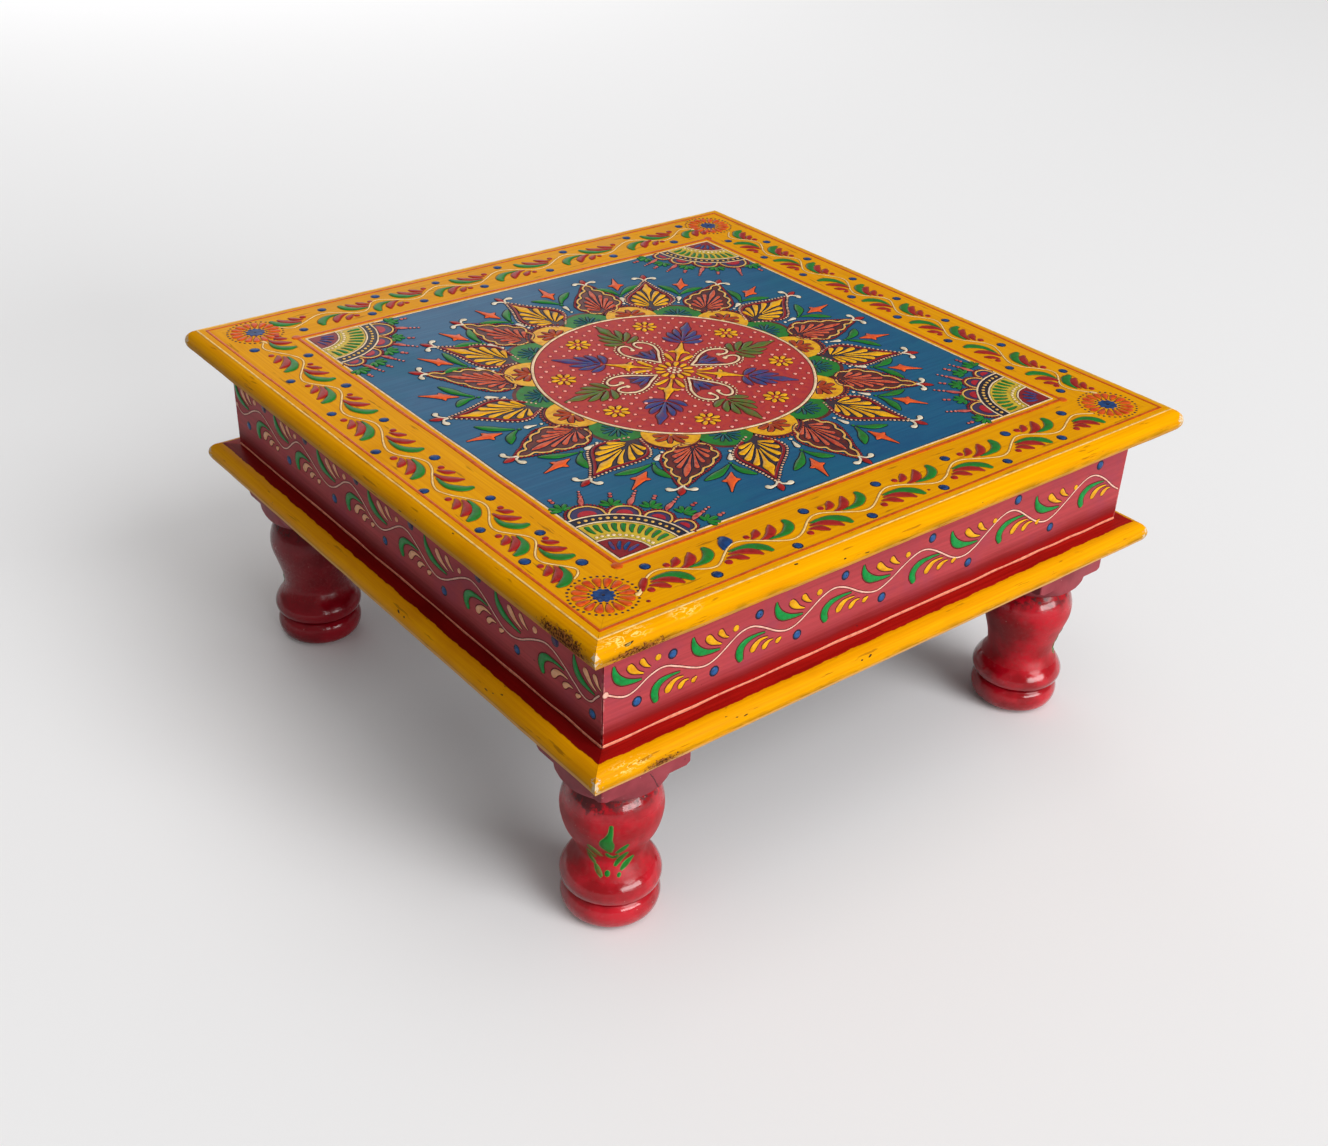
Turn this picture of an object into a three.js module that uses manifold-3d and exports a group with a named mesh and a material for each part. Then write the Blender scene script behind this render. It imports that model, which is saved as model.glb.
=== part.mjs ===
// A bajot: a low square table with a framed, painted top on a shallow apron box and four turned legs.
// Millimetres, +Z up. The origin is on the floor, under the middle of the table.
// The front is -Y, the right side +X. Every side and corner is the front one turned about Z.
import * as THREE from "three";
import { mergeVertices } from "three/addons/utils/BufferGeometryUtils.js";
import Module from "manifold-3d";

const wasm = await Module();
wasm.setup();

// Clearances
const jointGap = 0.3; // between glued faces that meet side by side
const holeClearance = 0.3; // round a tenon or a screw shank
const cutOverrun = 1; // how far a cutting solid runs past the wood

// Top: four nosed rails, mitred, round a flush panel
const tableWidth = 380; // across the noses, both ways
const topThickness = 14;
const railWidth = 49; // from the nose to the panel's edge
const tongueLength = 6; // the panel's tongue in the rails' groove
const tongueThickness = 5;

// Apron box
const apronInset = 17.5; // from the top's nose in to the apron's face
const apronHeight = 54;
const apronThickness = 12;

// Lower moulding: four nosed bars, mitred, under the apron
const mouldingProjection = 13.7; // from the apron's face out to the moulding's nose
const mouldingThickness = 14;
const mouldingWidth = 46;

// Legs, turned from square stock. The heights stack up from the floor.
const legStock = 50.4;
const legInset = 1.3; // from the apron's face in to the leg's square head
const footRadius = 19;
const discRadius = 24.2;
const discRise = 6.5; // floor to the disc's widest place
const discTopHeight = 7; // widest place to the groove
const grooveRadius = 21.9;
const beadRadius = 24.8;
const beadRise = 8.5; // groove to the bead's widest place
const beadTopHeight = 15; // widest place to the neck
const neckRadius = 17.4;
const ballRise = 25.7; // neck to the ball's widest place
const ballRadius = 24.8;
const ballTopHeight = 17.8; // widest place to the crease
const creaseRadius = 22.4;
const collarHeight = 7.5; // crease to the square head's underside
const collarRadius = 27.6;
const headHeight = 18;
const headSlope = 3; // height over which the head's lower corners are rounded off
const headSlopeDepth = 1.8;
const tenonRadius = 9;
const tenonStop = 6; // from the tenon's end up to the top of the corner block

// Inside: corner blocks, cleats and battens
const blockWidth = 34;
const blockHeight = 30;
const cleatSize = 16;
const battenWidth = 30;
const battenThickness = 12;
const battenOffset = 60; // from the table's middle to a batten's middle

// Screws: pan heads, one size of wire
const screwRadius = 1.7;
const screwHeadRadius = 3.6;
const screwHeadHeight = 2.4;
const screwTip = 4;
const screwBite = 9; // how far a screw goes into the piece that it holds
const mouldingScrewBite = 18;
const cleatScrewSpread = 95; // from the side's middle
const mouldingScrewSpread = 80;
const battenScrewSpread = 90;
const blockScrewEdge = 5; // from the block's inner face
const blockScrewRise = 9; // above the block's underside, and once more to the second screw

// Counts of faces, not lengths
const noseSegments = 12;
const legSegments = 20;
const boreSegments = 16;
const curveSteps = 3;
const bellySteps = 6;
const screwSegments = 8;

// Heights that follow
const discTop = discRise + discTopHeight;
const beadWidest = discTop + beadRise;
const neckLevel = beadWidest + beadTopHeight;
const ballWidest = neckLevel + ballRise;
const creaseLevel = ballWidest + ballTopHeight;
const headBottom = creaseLevel + collarHeight;
const legTop = headBottom + headHeight;
const apronBottom = legTop + mouldingThickness;
const apronTop = apronBottom + apronHeight;
const tableHeight = apronTop + topThickness;

// Distances out from the middle that follow
const topHalf = tableWidth / 2;
const panelEdge = topHalf - railWidth;
const apronFace = topHalf - apronInset;
const apronInner = apronFace - apronThickness;
const mouldingNose = apronFace + mouldingProjection;
const mouldingInner = mouldingNose - mouldingWidth;
const legCentre = apronFace - legInset - legStock / 2;
const boxInner = apronInner - jointGap;
const blockInner = boxInner - blockWidth;
const cleatInner = boxInner - cleatSize;
const tenonHole = tenonRadius + holeClearance;
const tenonTop = apronBottom + blockHeight - tenonStop;

const paint = {
  blue: { color: 0x2f668e, roughness: 0.45 },
  yellow: { color: 0xe0a010, roughness: 0.38 },
  rose: { color: 0x9c4450, roughness: 0.55 },
  crimson: { color: 0x8e1a20, roughness: 0.4 },
  red: { color: 0xa52532, roughness: 0.3 },
};
const bareWood = { color: 0xb58a5a, roughness: 0.8 };
const steel = { color: 0x9a9c9e, roughness: 0.35, metalness: 1 };

const sides = ["front", "right", "back", "left"];
const corners = ["front_left", "front_right", "back_right", "back_left"];
const quarterTurn = Math.PI / 2;

// Makes a closed solid from a geometry, by its places alone.
function solidOf(geometry) {
  const bare = geometry.clone();
  bare.deleteAttribute("normal");
  bare.deleteAttribute("uv");
  const merged = mergeVertices(bare);
  const vertProperties = merged.attributes.position.array;
  const triVerts = new Uint32Array(merged.index.array);
  return new wasm.Manifold(new wasm.Mesh({ numProp: 3, vertProperties, triVerts }));
}

function geometryOf(solid) {
  const mesh = solid.getMesh();
  const geometry = new THREE.BufferGeometry();
  geometry.setAttribute("position", new THREE.BufferAttribute(mesh.vertProperties, mesh.numProp));
  geometry.setIndex(new THREE.BufferAttribute(mesh.triVerts, 1));
  geometry.computeVertexNormals();
  return geometry;
}

function joined(first, ...others) {
  return geometryOf(others.reduce((solid, other) => solid.add(solidOf(other)), solidOf(first)));
}

function drilled(wood, holes) {
  return geometryOf(holes.reduce((solid, hole) => solid.subtract(solidOf(hole)), solidOf(wood)));
}

// A box between two opposite corners.
function boxBetween(low, high) {
  const size = new THREE.Vector3().subVectors(high, low);
  const geometry = new THREE.BoxGeometry(size.x, size.y, size.z);
  const middle = new THREE.Vector3().addVectors(low, high).multiplyScalar(0.5);
  return geometry.translate(middle.x, middle.y, middle.z);
}

// A lathe solid about Z. The outline goes up from the floor as [radius, height], from axis to axis.
function turned(outline, segments) {
  const points = outline.map(([radius, height]) => new THREE.Vector2(radius, height));
  return new THREE.LatheGeometry(points, segments).rotateX(quarterTurn);
}

// A round cutter on the Z axis.
function boreAt(radius, segments, low, high) {
  return turned([[0, low], [radius, low], [radius, high], [0, high]], segments);
}

function screwHole(low, high) {
  return boreAt(screwRadius + holeClearance, screwSegments, low, high);
}

function mesh(name, geometry, finish) {
  const made = new THREE.Mesh(geometry, new THREE.MeshStandardMaterial(finish));
  made.name = name;
  return made;
}

// One side of a square frame, as the front one. The section is drawn as (distance out, height), and each
// end is mitred by giving a point of the section a length that grows with its distance out.
function mitredBar(section) {
  const geometry = new THREE.ExtrudeGeometry(section, {
    depth: 1,
    bevelEnabled: false,
    curveSegments: noseSegments,
  });
  const places = geometry.attributes.position;
  for (let i = 0; i < places.count; i += 1) {
    const out = places.getX(i);
    const halfLength = out - jointGap;
    const along = places.getZ(i) > 0 ? -halfLength : halfLength;
    places.setXYZ(i, along, -out, places.getY(i));
  }
  geometry.computeVertexNormals();
  return geometry;
}

// A flat bar with a half-round nose on its outer edge.
function nosedSection(inner, outer, low, high) {
  const radius = (high - low) / 2;
  const section = new THREE.Shape();
  section.moveTo(inner, low);
  section.lineTo(outer - radius, low);
  section.absarc(outer - radius, low + radius, radius, -quarterTurn, quarterTurn, false);
  section.lineTo(inner, high);
  return section;
}

function plainSection(inner, outer, low, high) {
  const section = new THREE.Shape();
  section.moveTo(inner, low);
  section.lineTo(outer, low);
  section.lineTo(outer, high);
  section.lineTo(inner, high);
  return section;
}

// Top

function topRail() {
  const grooveHalf = tongueThickness / 2 + holeClearance;
  const grooveMiddle = apronTop + topThickness / 2;
  const grooveEnd = panelEdge + tongueLength;
  const groove = boxBetween(
    new THREE.Vector3(-topHalf, -grooveEnd, grooveMiddle - grooveHalf),
    new THREE.Vector3(topHalf, -panelEdge + cutOverrun, grooveMiddle + grooveHalf),
  );
  const bar = mitredBar(nosedSection(panelEdge, topHalf, apronTop, tableHeight));
  return drilled(bar, [groove, ...cleatScrewHoles(apronTop - cutOverrun, screwHoleTop())]);
}

// The highest point of a blind screw hole in the top.
function screwHoleTop() {
  return apronTop + screwBite + holeClearance;
}

function topPanel() {
  const boardHalf = panelEdge - jointGap;
  const tongueHalf = panelEdge + tongueLength - jointGap;
  const middle = apronTop + topThickness / 2;
  const board = boxBetween(
    new THREE.Vector3(-boardHalf, -boardHalf, apronTop),
    new THREE.Vector3(boardHalf, boardHalf, tableHeight),
  );
  const tongue = boxBetween(
    new THREE.Vector3(-tongueHalf, -tongueHalf, middle - tongueThickness / 2),
    new THREE.Vector3(tongueHalf, tongueHalf, middle + tongueThickness / 2),
  );
  const low = apronTop - cutOverrun;
  const holes = battenScrewPlaces().map(([x, y]) =>
    screwHole(low, screwHoleTop()).translate(x, y, 0));
  // Under a narrow rail the tongue reaches the cleats' screws, and they pass through it.
  const throughTongue = sides.flatMap((side, turn) =>
    cleatScrewHoles(low, screwHoleTop()).map((hole) => hole.rotateZ(turn * quarterTurn)));
  return drilled(joined(board, tongue), [...holes, ...throughTongue]);
}

// Apron and lower moulding

function apronBoard() {
  const bar = mitredBar(plainSection(apronInner, apronFace, apronBottom, apronTop));
  const screwLine = -(apronFace - apronThickness / 2);
  const holeTop = apronBottom + mouldingScrewBite + holeClearance;
  const fromBelow = [-mouldingScrewSpread, mouldingScrewSpread].map((x) =>
    screwHole(apronBottom - cutOverrun, holeTop).translate(x, screwLine, 0));
  const depth = boxInner + screwBite + holeClearance;
  const fromInside = blockScrewPlaces().map(([x, level]) =>
    screwHole(apronInner - cutOverrun, depth).rotateX(quarterTurn).translate(x, 0, level));
  return drilled(bar, [...fromBelow, ...fromInside]);
}

function lowerMoulding() {
  const bar = mitredBar(nosedSection(mouldingInner, mouldingNose, legTop, apronBottom));
  const low = legTop - cutOverrun;
  const high = apronBottom + cutOverrun;
  const screwLine = -(apronFace - apronThickness / 2);
  const screwHoles = [-mouldingScrewSpread, mouldingScrewSpread].map((x) =>
    screwHole(low, high).translate(x, screwLine, 0));
  const tenonHoles = [-legCentre, legCentre].map((x) =>
    boreAt(tenonHole, boreSegments, low, high).translate(x, -legCentre, 0));
  return drilled(bar, [...screwHoles, ...tenonHoles]);
}

// Legs

// A quarter round from a crease out to the widest place, or back in from it.
function roundOut([creaseR, creaseZ], [wideR, wideZ]) {
  const points = [];
  for (let step = 0; step < curveSteps; step += 1) {
    const angle = quarterTurn * (step / curveSteps);
    points.push([creaseR + (wideR - creaseR) * Math.sin(angle), wideZ - (wideZ - creaseZ) * Math.cos(angle)]);
  }
  return points;
}

function roundIn(wide, crease) {
  return [...roundOut(crease, wide), wide].reverse().slice(0, -1);
}

// A swelling from the neck out to a widest place: a tight hollow at the neck and a full belly.
function bellyOut([neckR, neckZ], [wideR, wideZ]) {
  const bellyShare = 1.35;
  const points = [];
  for (let step = 0; step < bellySteps; step += 1) {
    const share = step / bellySteps;
    const swell = Math.sin(quarterTurn * share) ** bellyShare;
    points.push([neckR + (wideR - neckR) * swell, neckZ + (wideZ - neckZ) * share]);
  }
  return points;
}

function bellyIn(wide, neck) {
  return [...bellyOut(neck, wide), wide].reverse().slice(0, -1);
}

function legOutline() {
  const foot = [footRadius, 0];
  const disc = [discRadius, discRise];
  const groove = [grooveRadius, discTop];
  const bead = [beadRadius, beadWidest];
  const neck = [neckRadius, neckLevel];
  const ball = [ballRadius, ballWidest];
  const crease = [creaseRadius, creaseLevel];
  const collar = [collarRadius, headBottom];
  const headCorner = Math.SQRT2 * (legStock / 2);
  return [
    [0, 0],
    ...roundOut(foot, disc),
    ...roundIn(disc, groove),
    ...roundOut(groove, bead),
    ...bellyIn(bead, neck),
    ...bellyOut(neck, ball),
    ...roundIn(ball, crease),
    ...roundOut(crease, collar),
    collar,
    [headCorner - headSlopeDepth, headBottom],
    [headCorner + cutOverrun, headBottom + headSlope],
    [headCorner + cutOverrun, legTop],
    [tenonRadius, legTop],
    [tenonRadius, tenonTop],
    [0, tenonTop],
  ];
}

function leg() {
  const stockHalf = legStock / 2;
  const stock = boxBetween(
    new THREE.Vector3(-stockHalf, -stockHalf, -cutOverrun),
    new THREE.Vector3(stockHalf, stockHalf, tenonTop + cutOverrun),
  );
  const shaped = solidOf(turned(legOutline(), legSegments)).intersect(solidOf(stock));
  return geometryOf(shaped).translate(-legCentre, -legCentre, 0);
}

// Inside

// The block of the front left corner, with a bore for the leg's tenon.
function cornerBlock() {
  const high = apronBottom + blockHeight;
  const block = boxBetween(
    new THREE.Vector3(-boxInner, -boxInner, apronBottom),
    new THREE.Vector3(-blockInner, -blockInner, high),
  );
  const bore = boreAt(tenonHole, boreSegments, apronBottom - cutOverrun, high + cutOverrun)
    .translate(-legCentre, -legCentre, 0);
  const [[x, level], [y, otherLevel]] = blockScrewPlaces();
  const through = screwHole(blockInner - cutOverrun, boxInner + cutOverrun);
  const intoFront = through.clone().rotateX(quarterTurn).translate(x, 0, level);
  const intoLeft = through.clone().rotateY(-quarterTurn).translate(0, -y, otherLevel);
  return drilled(block, [bore, intoFront, intoLeft]);
}

// The screws through the blocks at a front apron's two ends, as [place along, height].
function blockScrewPlaces() {
  const along = blockInner + blockScrewEdge;
  return [[-along, apronBottom + blockScrewRise], [along, apronBottom + 2 * blockScrewRise]];
}

// Cleats: the front and back ones run the whole width, and the side ones fit between them.
function cleat(halfLength) {
  const bar = boxBetween(
    new THREE.Vector3(-halfLength, -boxInner, apronTop - cleatSize),
    new THREE.Vector3(halfLength, -cleatInner, apronTop),
  );
  return drilled(bar, cleatScrewHoles(apronTop - cleatSize - cutOverrun, apronTop + cutOverrun));
}

// The holes of the front cleat's two screws, between two heights.
function cleatScrewHoles(low, high) {
  const screwLine = -(cleatInner + cleatSize / 2);
  return [-cleatScrewSpread, cleatScrewSpread].map((x) =>
    screwHole(low, high).translate(x, screwLine, 0));
}

// Battens, glued and screwed across the underside of the panel.
function batten(middle) {
  const end = cleatInner - jointGap;
  const low = apronTop - battenThickness;
  const bar = boxBetween(
    new THREE.Vector3(middle - battenWidth / 2, -end, low),
    new THREE.Vector3(middle + battenWidth / 2, end, apronTop),
  );
  const holes = [-battenScrewSpread, battenScrewSpread].map((y) =>
    screwHole(low - cutOverrun, apronTop + cutOverrun).translate(middle, y, 0));
  return drilled(bar, holes);
}

function battenScrewPlaces() {
  const across = [-battenOffset, battenOffset];
  return across.flatMap((x) => [[x, -battenScrewSpread], [x, battenScrewSpread]]);
}

// A pan-head screw along +Z. The head's flat seat is at the origin.
function screw(shankLength) {
  const crownShare = 0.6;
  const outline = [
    [0, -screwHeadHeight],
    [screwHeadRadius * crownShare, -screwHeadHeight],
    [screwHeadRadius, -screwHeadHeight / 2],
    [screwHeadRadius, 0],
    [screwRadius, 0],
    [screwRadius, shankLength - screwTip],
    [0, shankLength],
  ];
  return turned(outline, screwSegments);
}

const table = new THREE.Group();
table.add(mesh("top_panel", topPanel(), paint.blue));

sides.forEach((side, turn) => {
  const group = new THREE.Group();
  group.rotation.z = turn * quarterTurn;
  const runsWide = side === "front" || side === "back";
  group.add(mesh(`top_rail_${side}`, topRail(), paint.yellow));
  group.add(mesh(`apron_${side}`, apronBoard(), paint.rose));
  group.add(mesh(`moulding_${side}`, lowerMoulding(), paint.crimson));
  group.add(mesh(`top_cleat_${side}`, cleat(runsWide ? boxInner : cleatInner - jointGap), bareWood));
  [-1, 1].forEach((end, i) => {
    const cleatScrew = mesh(`cleat_screw_${side}_${i + 1}`, screw(cleatSize + screwBite), steel);
    cleatScrew.position.set(end * cleatScrewSpread, -(cleatInner + cleatSize / 2), apronTop - cleatSize);
    const mouldingScrew = mesh(
      `moulding_screw_${side}_${i + 1}`,
      screw(mouldingThickness + mouldingScrewBite),
      steel,
    );
    mouldingScrew.position.set(end * mouldingScrewSpread, -(apronFace - apronThickness / 2), legTop);
    const [along, level] = blockScrewPlaces()[i];
    const blockScrew = mesh(`block_screw_${side}_${i + 1}`, screw(blockWidth + jointGap + screwBite), steel);
    blockScrew.position.set(along, -blockInner, level);
    blockScrew.rotation.x = quarterTurn;
    group.add(cleatScrew, mouldingScrew, blockScrew);
  });
  table.add(group);
});

corners.forEach((corner, turn) => {
  const group = new THREE.Group();
  group.rotation.z = turn * quarterTurn;
  group.add(mesh(`leg_${corner}`, leg(), paint.red));
  group.add(mesh(`corner_block_${corner}`, cornerBlock(), bareWood));
  table.add(group);
});

[["left", -battenOffset], ["right", battenOffset]].forEach(([side, middle]) => {
  table.add(mesh(`panel_batten_${side}`, batten(middle), bareWood));
});
battenScrewPlaces().forEach(([x, y], i) => {
  const battenScrew = mesh(`batten_screw_${i + 1}`, screw(battenThickness + screwBite), steel);
  battenScrew.position.set(x, y, apronTop - battenThickness);
  table.add(battenScrew);
});

export default table;
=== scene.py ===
# %% [markdown]
# A painted bajot, piece by piece
#
# A bajot is a low square table from western India. It is joined from plain boards and four turned legs,
# every outer face is painted, and fine ornament is then squeezed on in raised lines of thick paint.
# This lesson builds its looks round a finished wooden frame, which a CAD model supplies.
# The frame comes first: each later piece reads its size and place from it, so nothing is fitted by eye.

import math
import random

import bmesh
import bpy
import mathutils
import numpy as np
from mathutils import Matrix, Vector


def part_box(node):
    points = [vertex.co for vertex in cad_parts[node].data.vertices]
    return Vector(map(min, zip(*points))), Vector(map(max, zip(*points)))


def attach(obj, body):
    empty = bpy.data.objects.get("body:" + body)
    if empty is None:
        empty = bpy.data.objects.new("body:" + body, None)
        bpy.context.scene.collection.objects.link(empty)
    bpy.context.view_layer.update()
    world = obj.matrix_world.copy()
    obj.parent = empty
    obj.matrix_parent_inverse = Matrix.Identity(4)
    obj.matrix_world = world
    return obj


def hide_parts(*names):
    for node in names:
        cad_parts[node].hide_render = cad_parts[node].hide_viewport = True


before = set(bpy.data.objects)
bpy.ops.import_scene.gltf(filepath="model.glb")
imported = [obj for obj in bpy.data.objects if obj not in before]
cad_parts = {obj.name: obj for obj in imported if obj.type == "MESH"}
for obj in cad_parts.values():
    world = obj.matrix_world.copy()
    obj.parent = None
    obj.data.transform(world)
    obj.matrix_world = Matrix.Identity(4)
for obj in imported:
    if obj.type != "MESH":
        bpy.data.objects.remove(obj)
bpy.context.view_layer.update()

# %% [markdown]
# Blender works in metres and wood is measured in millimetres, so one value turns the one into the other.
# The main levels and edges are read from the frame's boxes. The front is -Y, and every side of the table
# is the front one turned about Z, so the front's sizes serve all four.

# %% Sizes read from the frame
mm = 0.001
rail_low, rail_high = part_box("top_rail_front")
apron_low, apron_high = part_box("apron_front")
moulding_low, moulding_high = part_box("moulding_front")
leg_low, leg_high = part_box("leg_front_left")

top_level = rail_high.z
top_half = -rail_low.y
panel_edge = -rail_high.y
apron_face = -apron_low.y
apron_foot = apron_low.z
moulding_nose = -moulding_low.y
moulding_inner = -moulding_high.y
leg_centre = -(leg_low.x + leg_high.x) / 2
leg_half = (leg_high.x - leg_low.x) / 2
leg_top = moulding_low.z
tenon_top = leg_high.z

sides = ["front", "right", "back", "left"]
corners = ["front_left", "front_right", "back_right", "back_left"]
quarter = math.pi / 2
hand = random.Random(11)
print("panel edge", round(panel_edge / mm, 1), "mm, apron face", round(apron_face / mm, 1), "mm")

# %% [markdown]
# The camera stands where the photographer stood: in front of the table's near corner, a little more than
# half a metre up, looking down at it. Its place and angles were worked out from the table's own corners,
# whose places on the table and in the photo are both known.

# %% Camera
eye = Vector((-491.5, -594.6, 533.7)) * mm
tilt, lean, heading = 58.42, -2.0, -38.37
lens_length = 42.68

camera = bpy.data.objects.new("camera", bpy.data.cameras.new("camera"))
bpy.context.scene.collection.objects.link(camera)
camera.location = eye
camera.rotation_euler = [math.radians(degrees) for degrees in (tilt, lean, heading)]
camera.data.lens = lens_length
camera.data.sensor_width = 36.0
camera.data.sensor_fit = "HORIZONTAL"
camera.data.clip_start = 0.01
bpy.context.scene.camera = camera
bpy.context.scene.view_settings.view_transform = "Standard"
print("camera", round(camera.data.lens, 2), "mm lens")

# %% [markdown]
# A material is a small program of nodes. Writing it as sums is easier to read than a web of links, so one
# small class wraps an output socket: adding or multiplying two of them adds the Math node that does it.

# %% Writing shaders as sums


class Wire:
    """An output socket of a node. Sums with numbers and other wires add Math nodes."""

    def __init__(self, finish, socket):
        self.finish = finish
        self.socket = socket

    def math(self, operation, other=0.0, swapped=False):
        pair = (other, self) if swapped else (self, other)
        return self.finish.node("ShaderNodeMath", {"operation": operation}, dict(enumerate(pair)))

    def __add__(self, other):
        return self.math("ADD", other)

    def __sub__(self, other):
        return self.math("SUBTRACT", other)

    def __rsub__(self, other):
        return self.math("SUBTRACT", other, swapped=True)

    def __mul__(self, other):
        return self.math("MULTIPLY", other)

    def __abs__(self):
        return self.math("ABSOLUTE")

    def rise(self, start, end):
        """0 up to start, 1 from end on, and a smooth slope between them."""
        settings = {"interpolation_type": "SMOOTHSTEP"}
        inputs = {"Value": self, "From Min": start, "From Max": end}
        return self.finish.node("ShaderNodeMapRange", settings, inputs)


print("a wire can:", [name for name in vars(Wire) if not name.startswith("_")])

# %% [markdown]
# A second class holds a material. One of its methods adds any node and feeds its inputs, and the others
# are short names for the few nodes that every paint uses.

# %% A material and its nodes


class Finish:
    """A material that is being made: its shader, its nodes and where its patterns lie."""

    def __init__(self, name, roughness=0.5, gleam=0.1):
        self.material = bpy.data.materials.new(name)
        self.material.use_nodes = True
        self.tree = self.material.node_tree
        self.shader = self.tree.nodes["Principled BSDF"]
        self.shader.inputs["Roughness"].default_value = roughness
        self.shader.inputs["Specular IOR Level"].default_value = gleam
        self.place = self.node("ShaderNodeTexCoord", output="Object")
        self.x, self.y, self.z = (
            self.node("ShaderNodeSeparateXYZ", inputs={0: self.place}, output=axis) for axis in range(3)
        )

    def node(self, kind, settings=None, inputs=None, output=0):
        made = self.tree.nodes.new(kind)
        for name, value in (settings or {}).items():
            setattr(made, name, value)
        for name, value in (inputs or {}).items():
            self.feed(made.inputs[name], value)
        return Wire(self, made.outputs[output])

    def feed(self, socket, value):
        if isinstance(value, Wire):
            self.tree.links.new(value.socket, socket)
        else:
            socket.default_value = value

    def mix(self, share, first, second):
        """A colour between two colours."""
        inputs = {0: share, 6: first, 7: second}
        return self.node("ShaderNodeMix", {"data_type": "RGBA"}, inputs, output=2)

    def blend(self, share, first, second):
        """A number between two numbers."""
        return self.node("ShaderNodeMix", {"data_type": "FLOAT"}, {0: share, 2: first, 3: second})

    def stretched(self, scale):
        """The place, stretched along each axis."""
        return self.node("ShaderNodeMapping", inputs={"Vector": self.place, "Scale": scale})

    def noise(self, size, detail=3.0, vector=None, roughness=0.55, distortion=0.0):
        """Soft clouds from 0 to 1. The size is that of one cloud, in metres."""
        inputs = {
            "Vector": vector or self.place,
            "Scale": 1 / size,
            "Detail": detail,
            "Roughness": roughness,
            "Distortion": distortion,
        }
        return self.node("ShaderNodeTexNoise", inputs=inputs)

    def combined(self, x, y, z):
        return self.node("ShaderNodeCombineXYZ", inputs={0: x, 1: y, 2: z})

    def bump(self, height, distance, strength):
        inputs = {"Height": height, "Distance": distance, "Strength": strength}
        return self.node("ShaderNodeBump", inputs=inputs)

    def use(self, **sockets):
        """Feeds the shader's sockets. Base_Color stands for the socket Base Color."""
        for name, value in sockets.items():
            self.feed(self.shader.inputs[name.replace("_", " ")], value)
        return self.material


print("a finish can:", [name for name in vars(Finish) if not name.startswith("_")])

# %% [markdown]
# The three numbers of a screen's colour are not amounts of light. Shaders reckon with light, so each colour
# is turned into it first.

# %% Colours


def srgb(red, green, blue):
    """A colour as a screen shows it, from 0 to 255, as the linear light that shaders work in."""

    def linear(part):
        share = part / 255
        return share / 12.92 if share <= 0.04045 else ((share + 0.055) / 1.055) ** 2.4

    return (linear(red), linear(green), linear(blue), 1.0)


print("a screen's 188 is", round(srgb(188, 188, 188)[0], 2), "of white's light")

# %% [markdown]
# Brushed paint on wood has three layers of detail. Broad clouds make it a little lighter or darker, long
# streaks follow the brush, and the streaks stand up enough to catch the light. Grime and small chips come
# on top. One function makes the streaks, because each painted piece is brushed along its own length.

# %% Shared brushwork


def streaks(finish, along, across, level, length, width, detail=4.0):
    """Long thin clouds, as a brush leaves them. along, across and level are the three places as wires."""
    ratio = width / length
    return finish.noise(width, detail, finish.combined(along * ratio, across, level), roughness=0.6)


def specks(finish, size, amount, stretch=(1.0, 1.0, 1.0)):
    """A mask of scattered spots: 1 in them and 0 outside. More amount, more spots."""
    clouds = finish.noise(size, 2.0, finish.stretched(stretch), roughness=0.7)
    edge = 0.76 - amount
    return clouds.rise(edge, edge + 0.03)


def side_run(finish):
    """1 where a mitred square's bar runs along X, and 0 where it runs along Y."""
    return (abs(finish.y) - abs(finish.x)).rise(-0.02 * mm, 0.02 * mm)


print("brushwork: streaks, specks and the way that a side runs")

# %% [markdown]
# The panel is a dark sky blue, brushed from left to right in thin paint, so that paler and greener streaks
# of the undercoat show through.

# %% Panel paint


def panel_paint():
    finish = Finish("panel_paint", 0.38, 0.18)
    brushed = streaks(finish, finish.x, finish.y, finish.z, 90 * mm, 1.6 * mm)
    fine = streaks(finish, finish.x, finish.y, finish.z, 30 * mm, 0.5 * mm)
    clouds = finish.noise(55 * mm, 3.0)
    blots = finish.noise(18 * mm, 4.0, finish.stretched((0.5, 1.0, 1.0)), distortion=1.2)
    colour = finish.mix(brushed.rise(0.34, 0.68), srgb(6, 79, 119), srgb(18, 91, 128))
    colour = finish.mix(clouds.rise(0.4, 0.7) * 0.7, colour, srgb(8, 92, 119))
    colour = finish.mix(blots.rise(0.5, 0.75) * 0.5, colour, srgb(4, 68, 112))
    colour = finish.mix(fine.rise(0.62, 0.8) * 0.3, colour, srgb(84, 118, 136))
    colour = finish.mix(specks(finish, 9 * mm, 0.02, (0.5, 1.4, 1.0)) * 0.5, colour, srgb(16, 48, 66))
    relief = brushed * 0.7 + fine * 0.3
    return finish.use(
        Base_Color=colour,
        Roughness=finish.blend(clouds.rise(0.3, 0.7), 0.34, 0.46),
        Normal=finish.bump(relief, 0.12 * mm, 0.5),
    )


blue_paint = panel_paint()
print("materials:", blue_paint.name)
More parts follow.
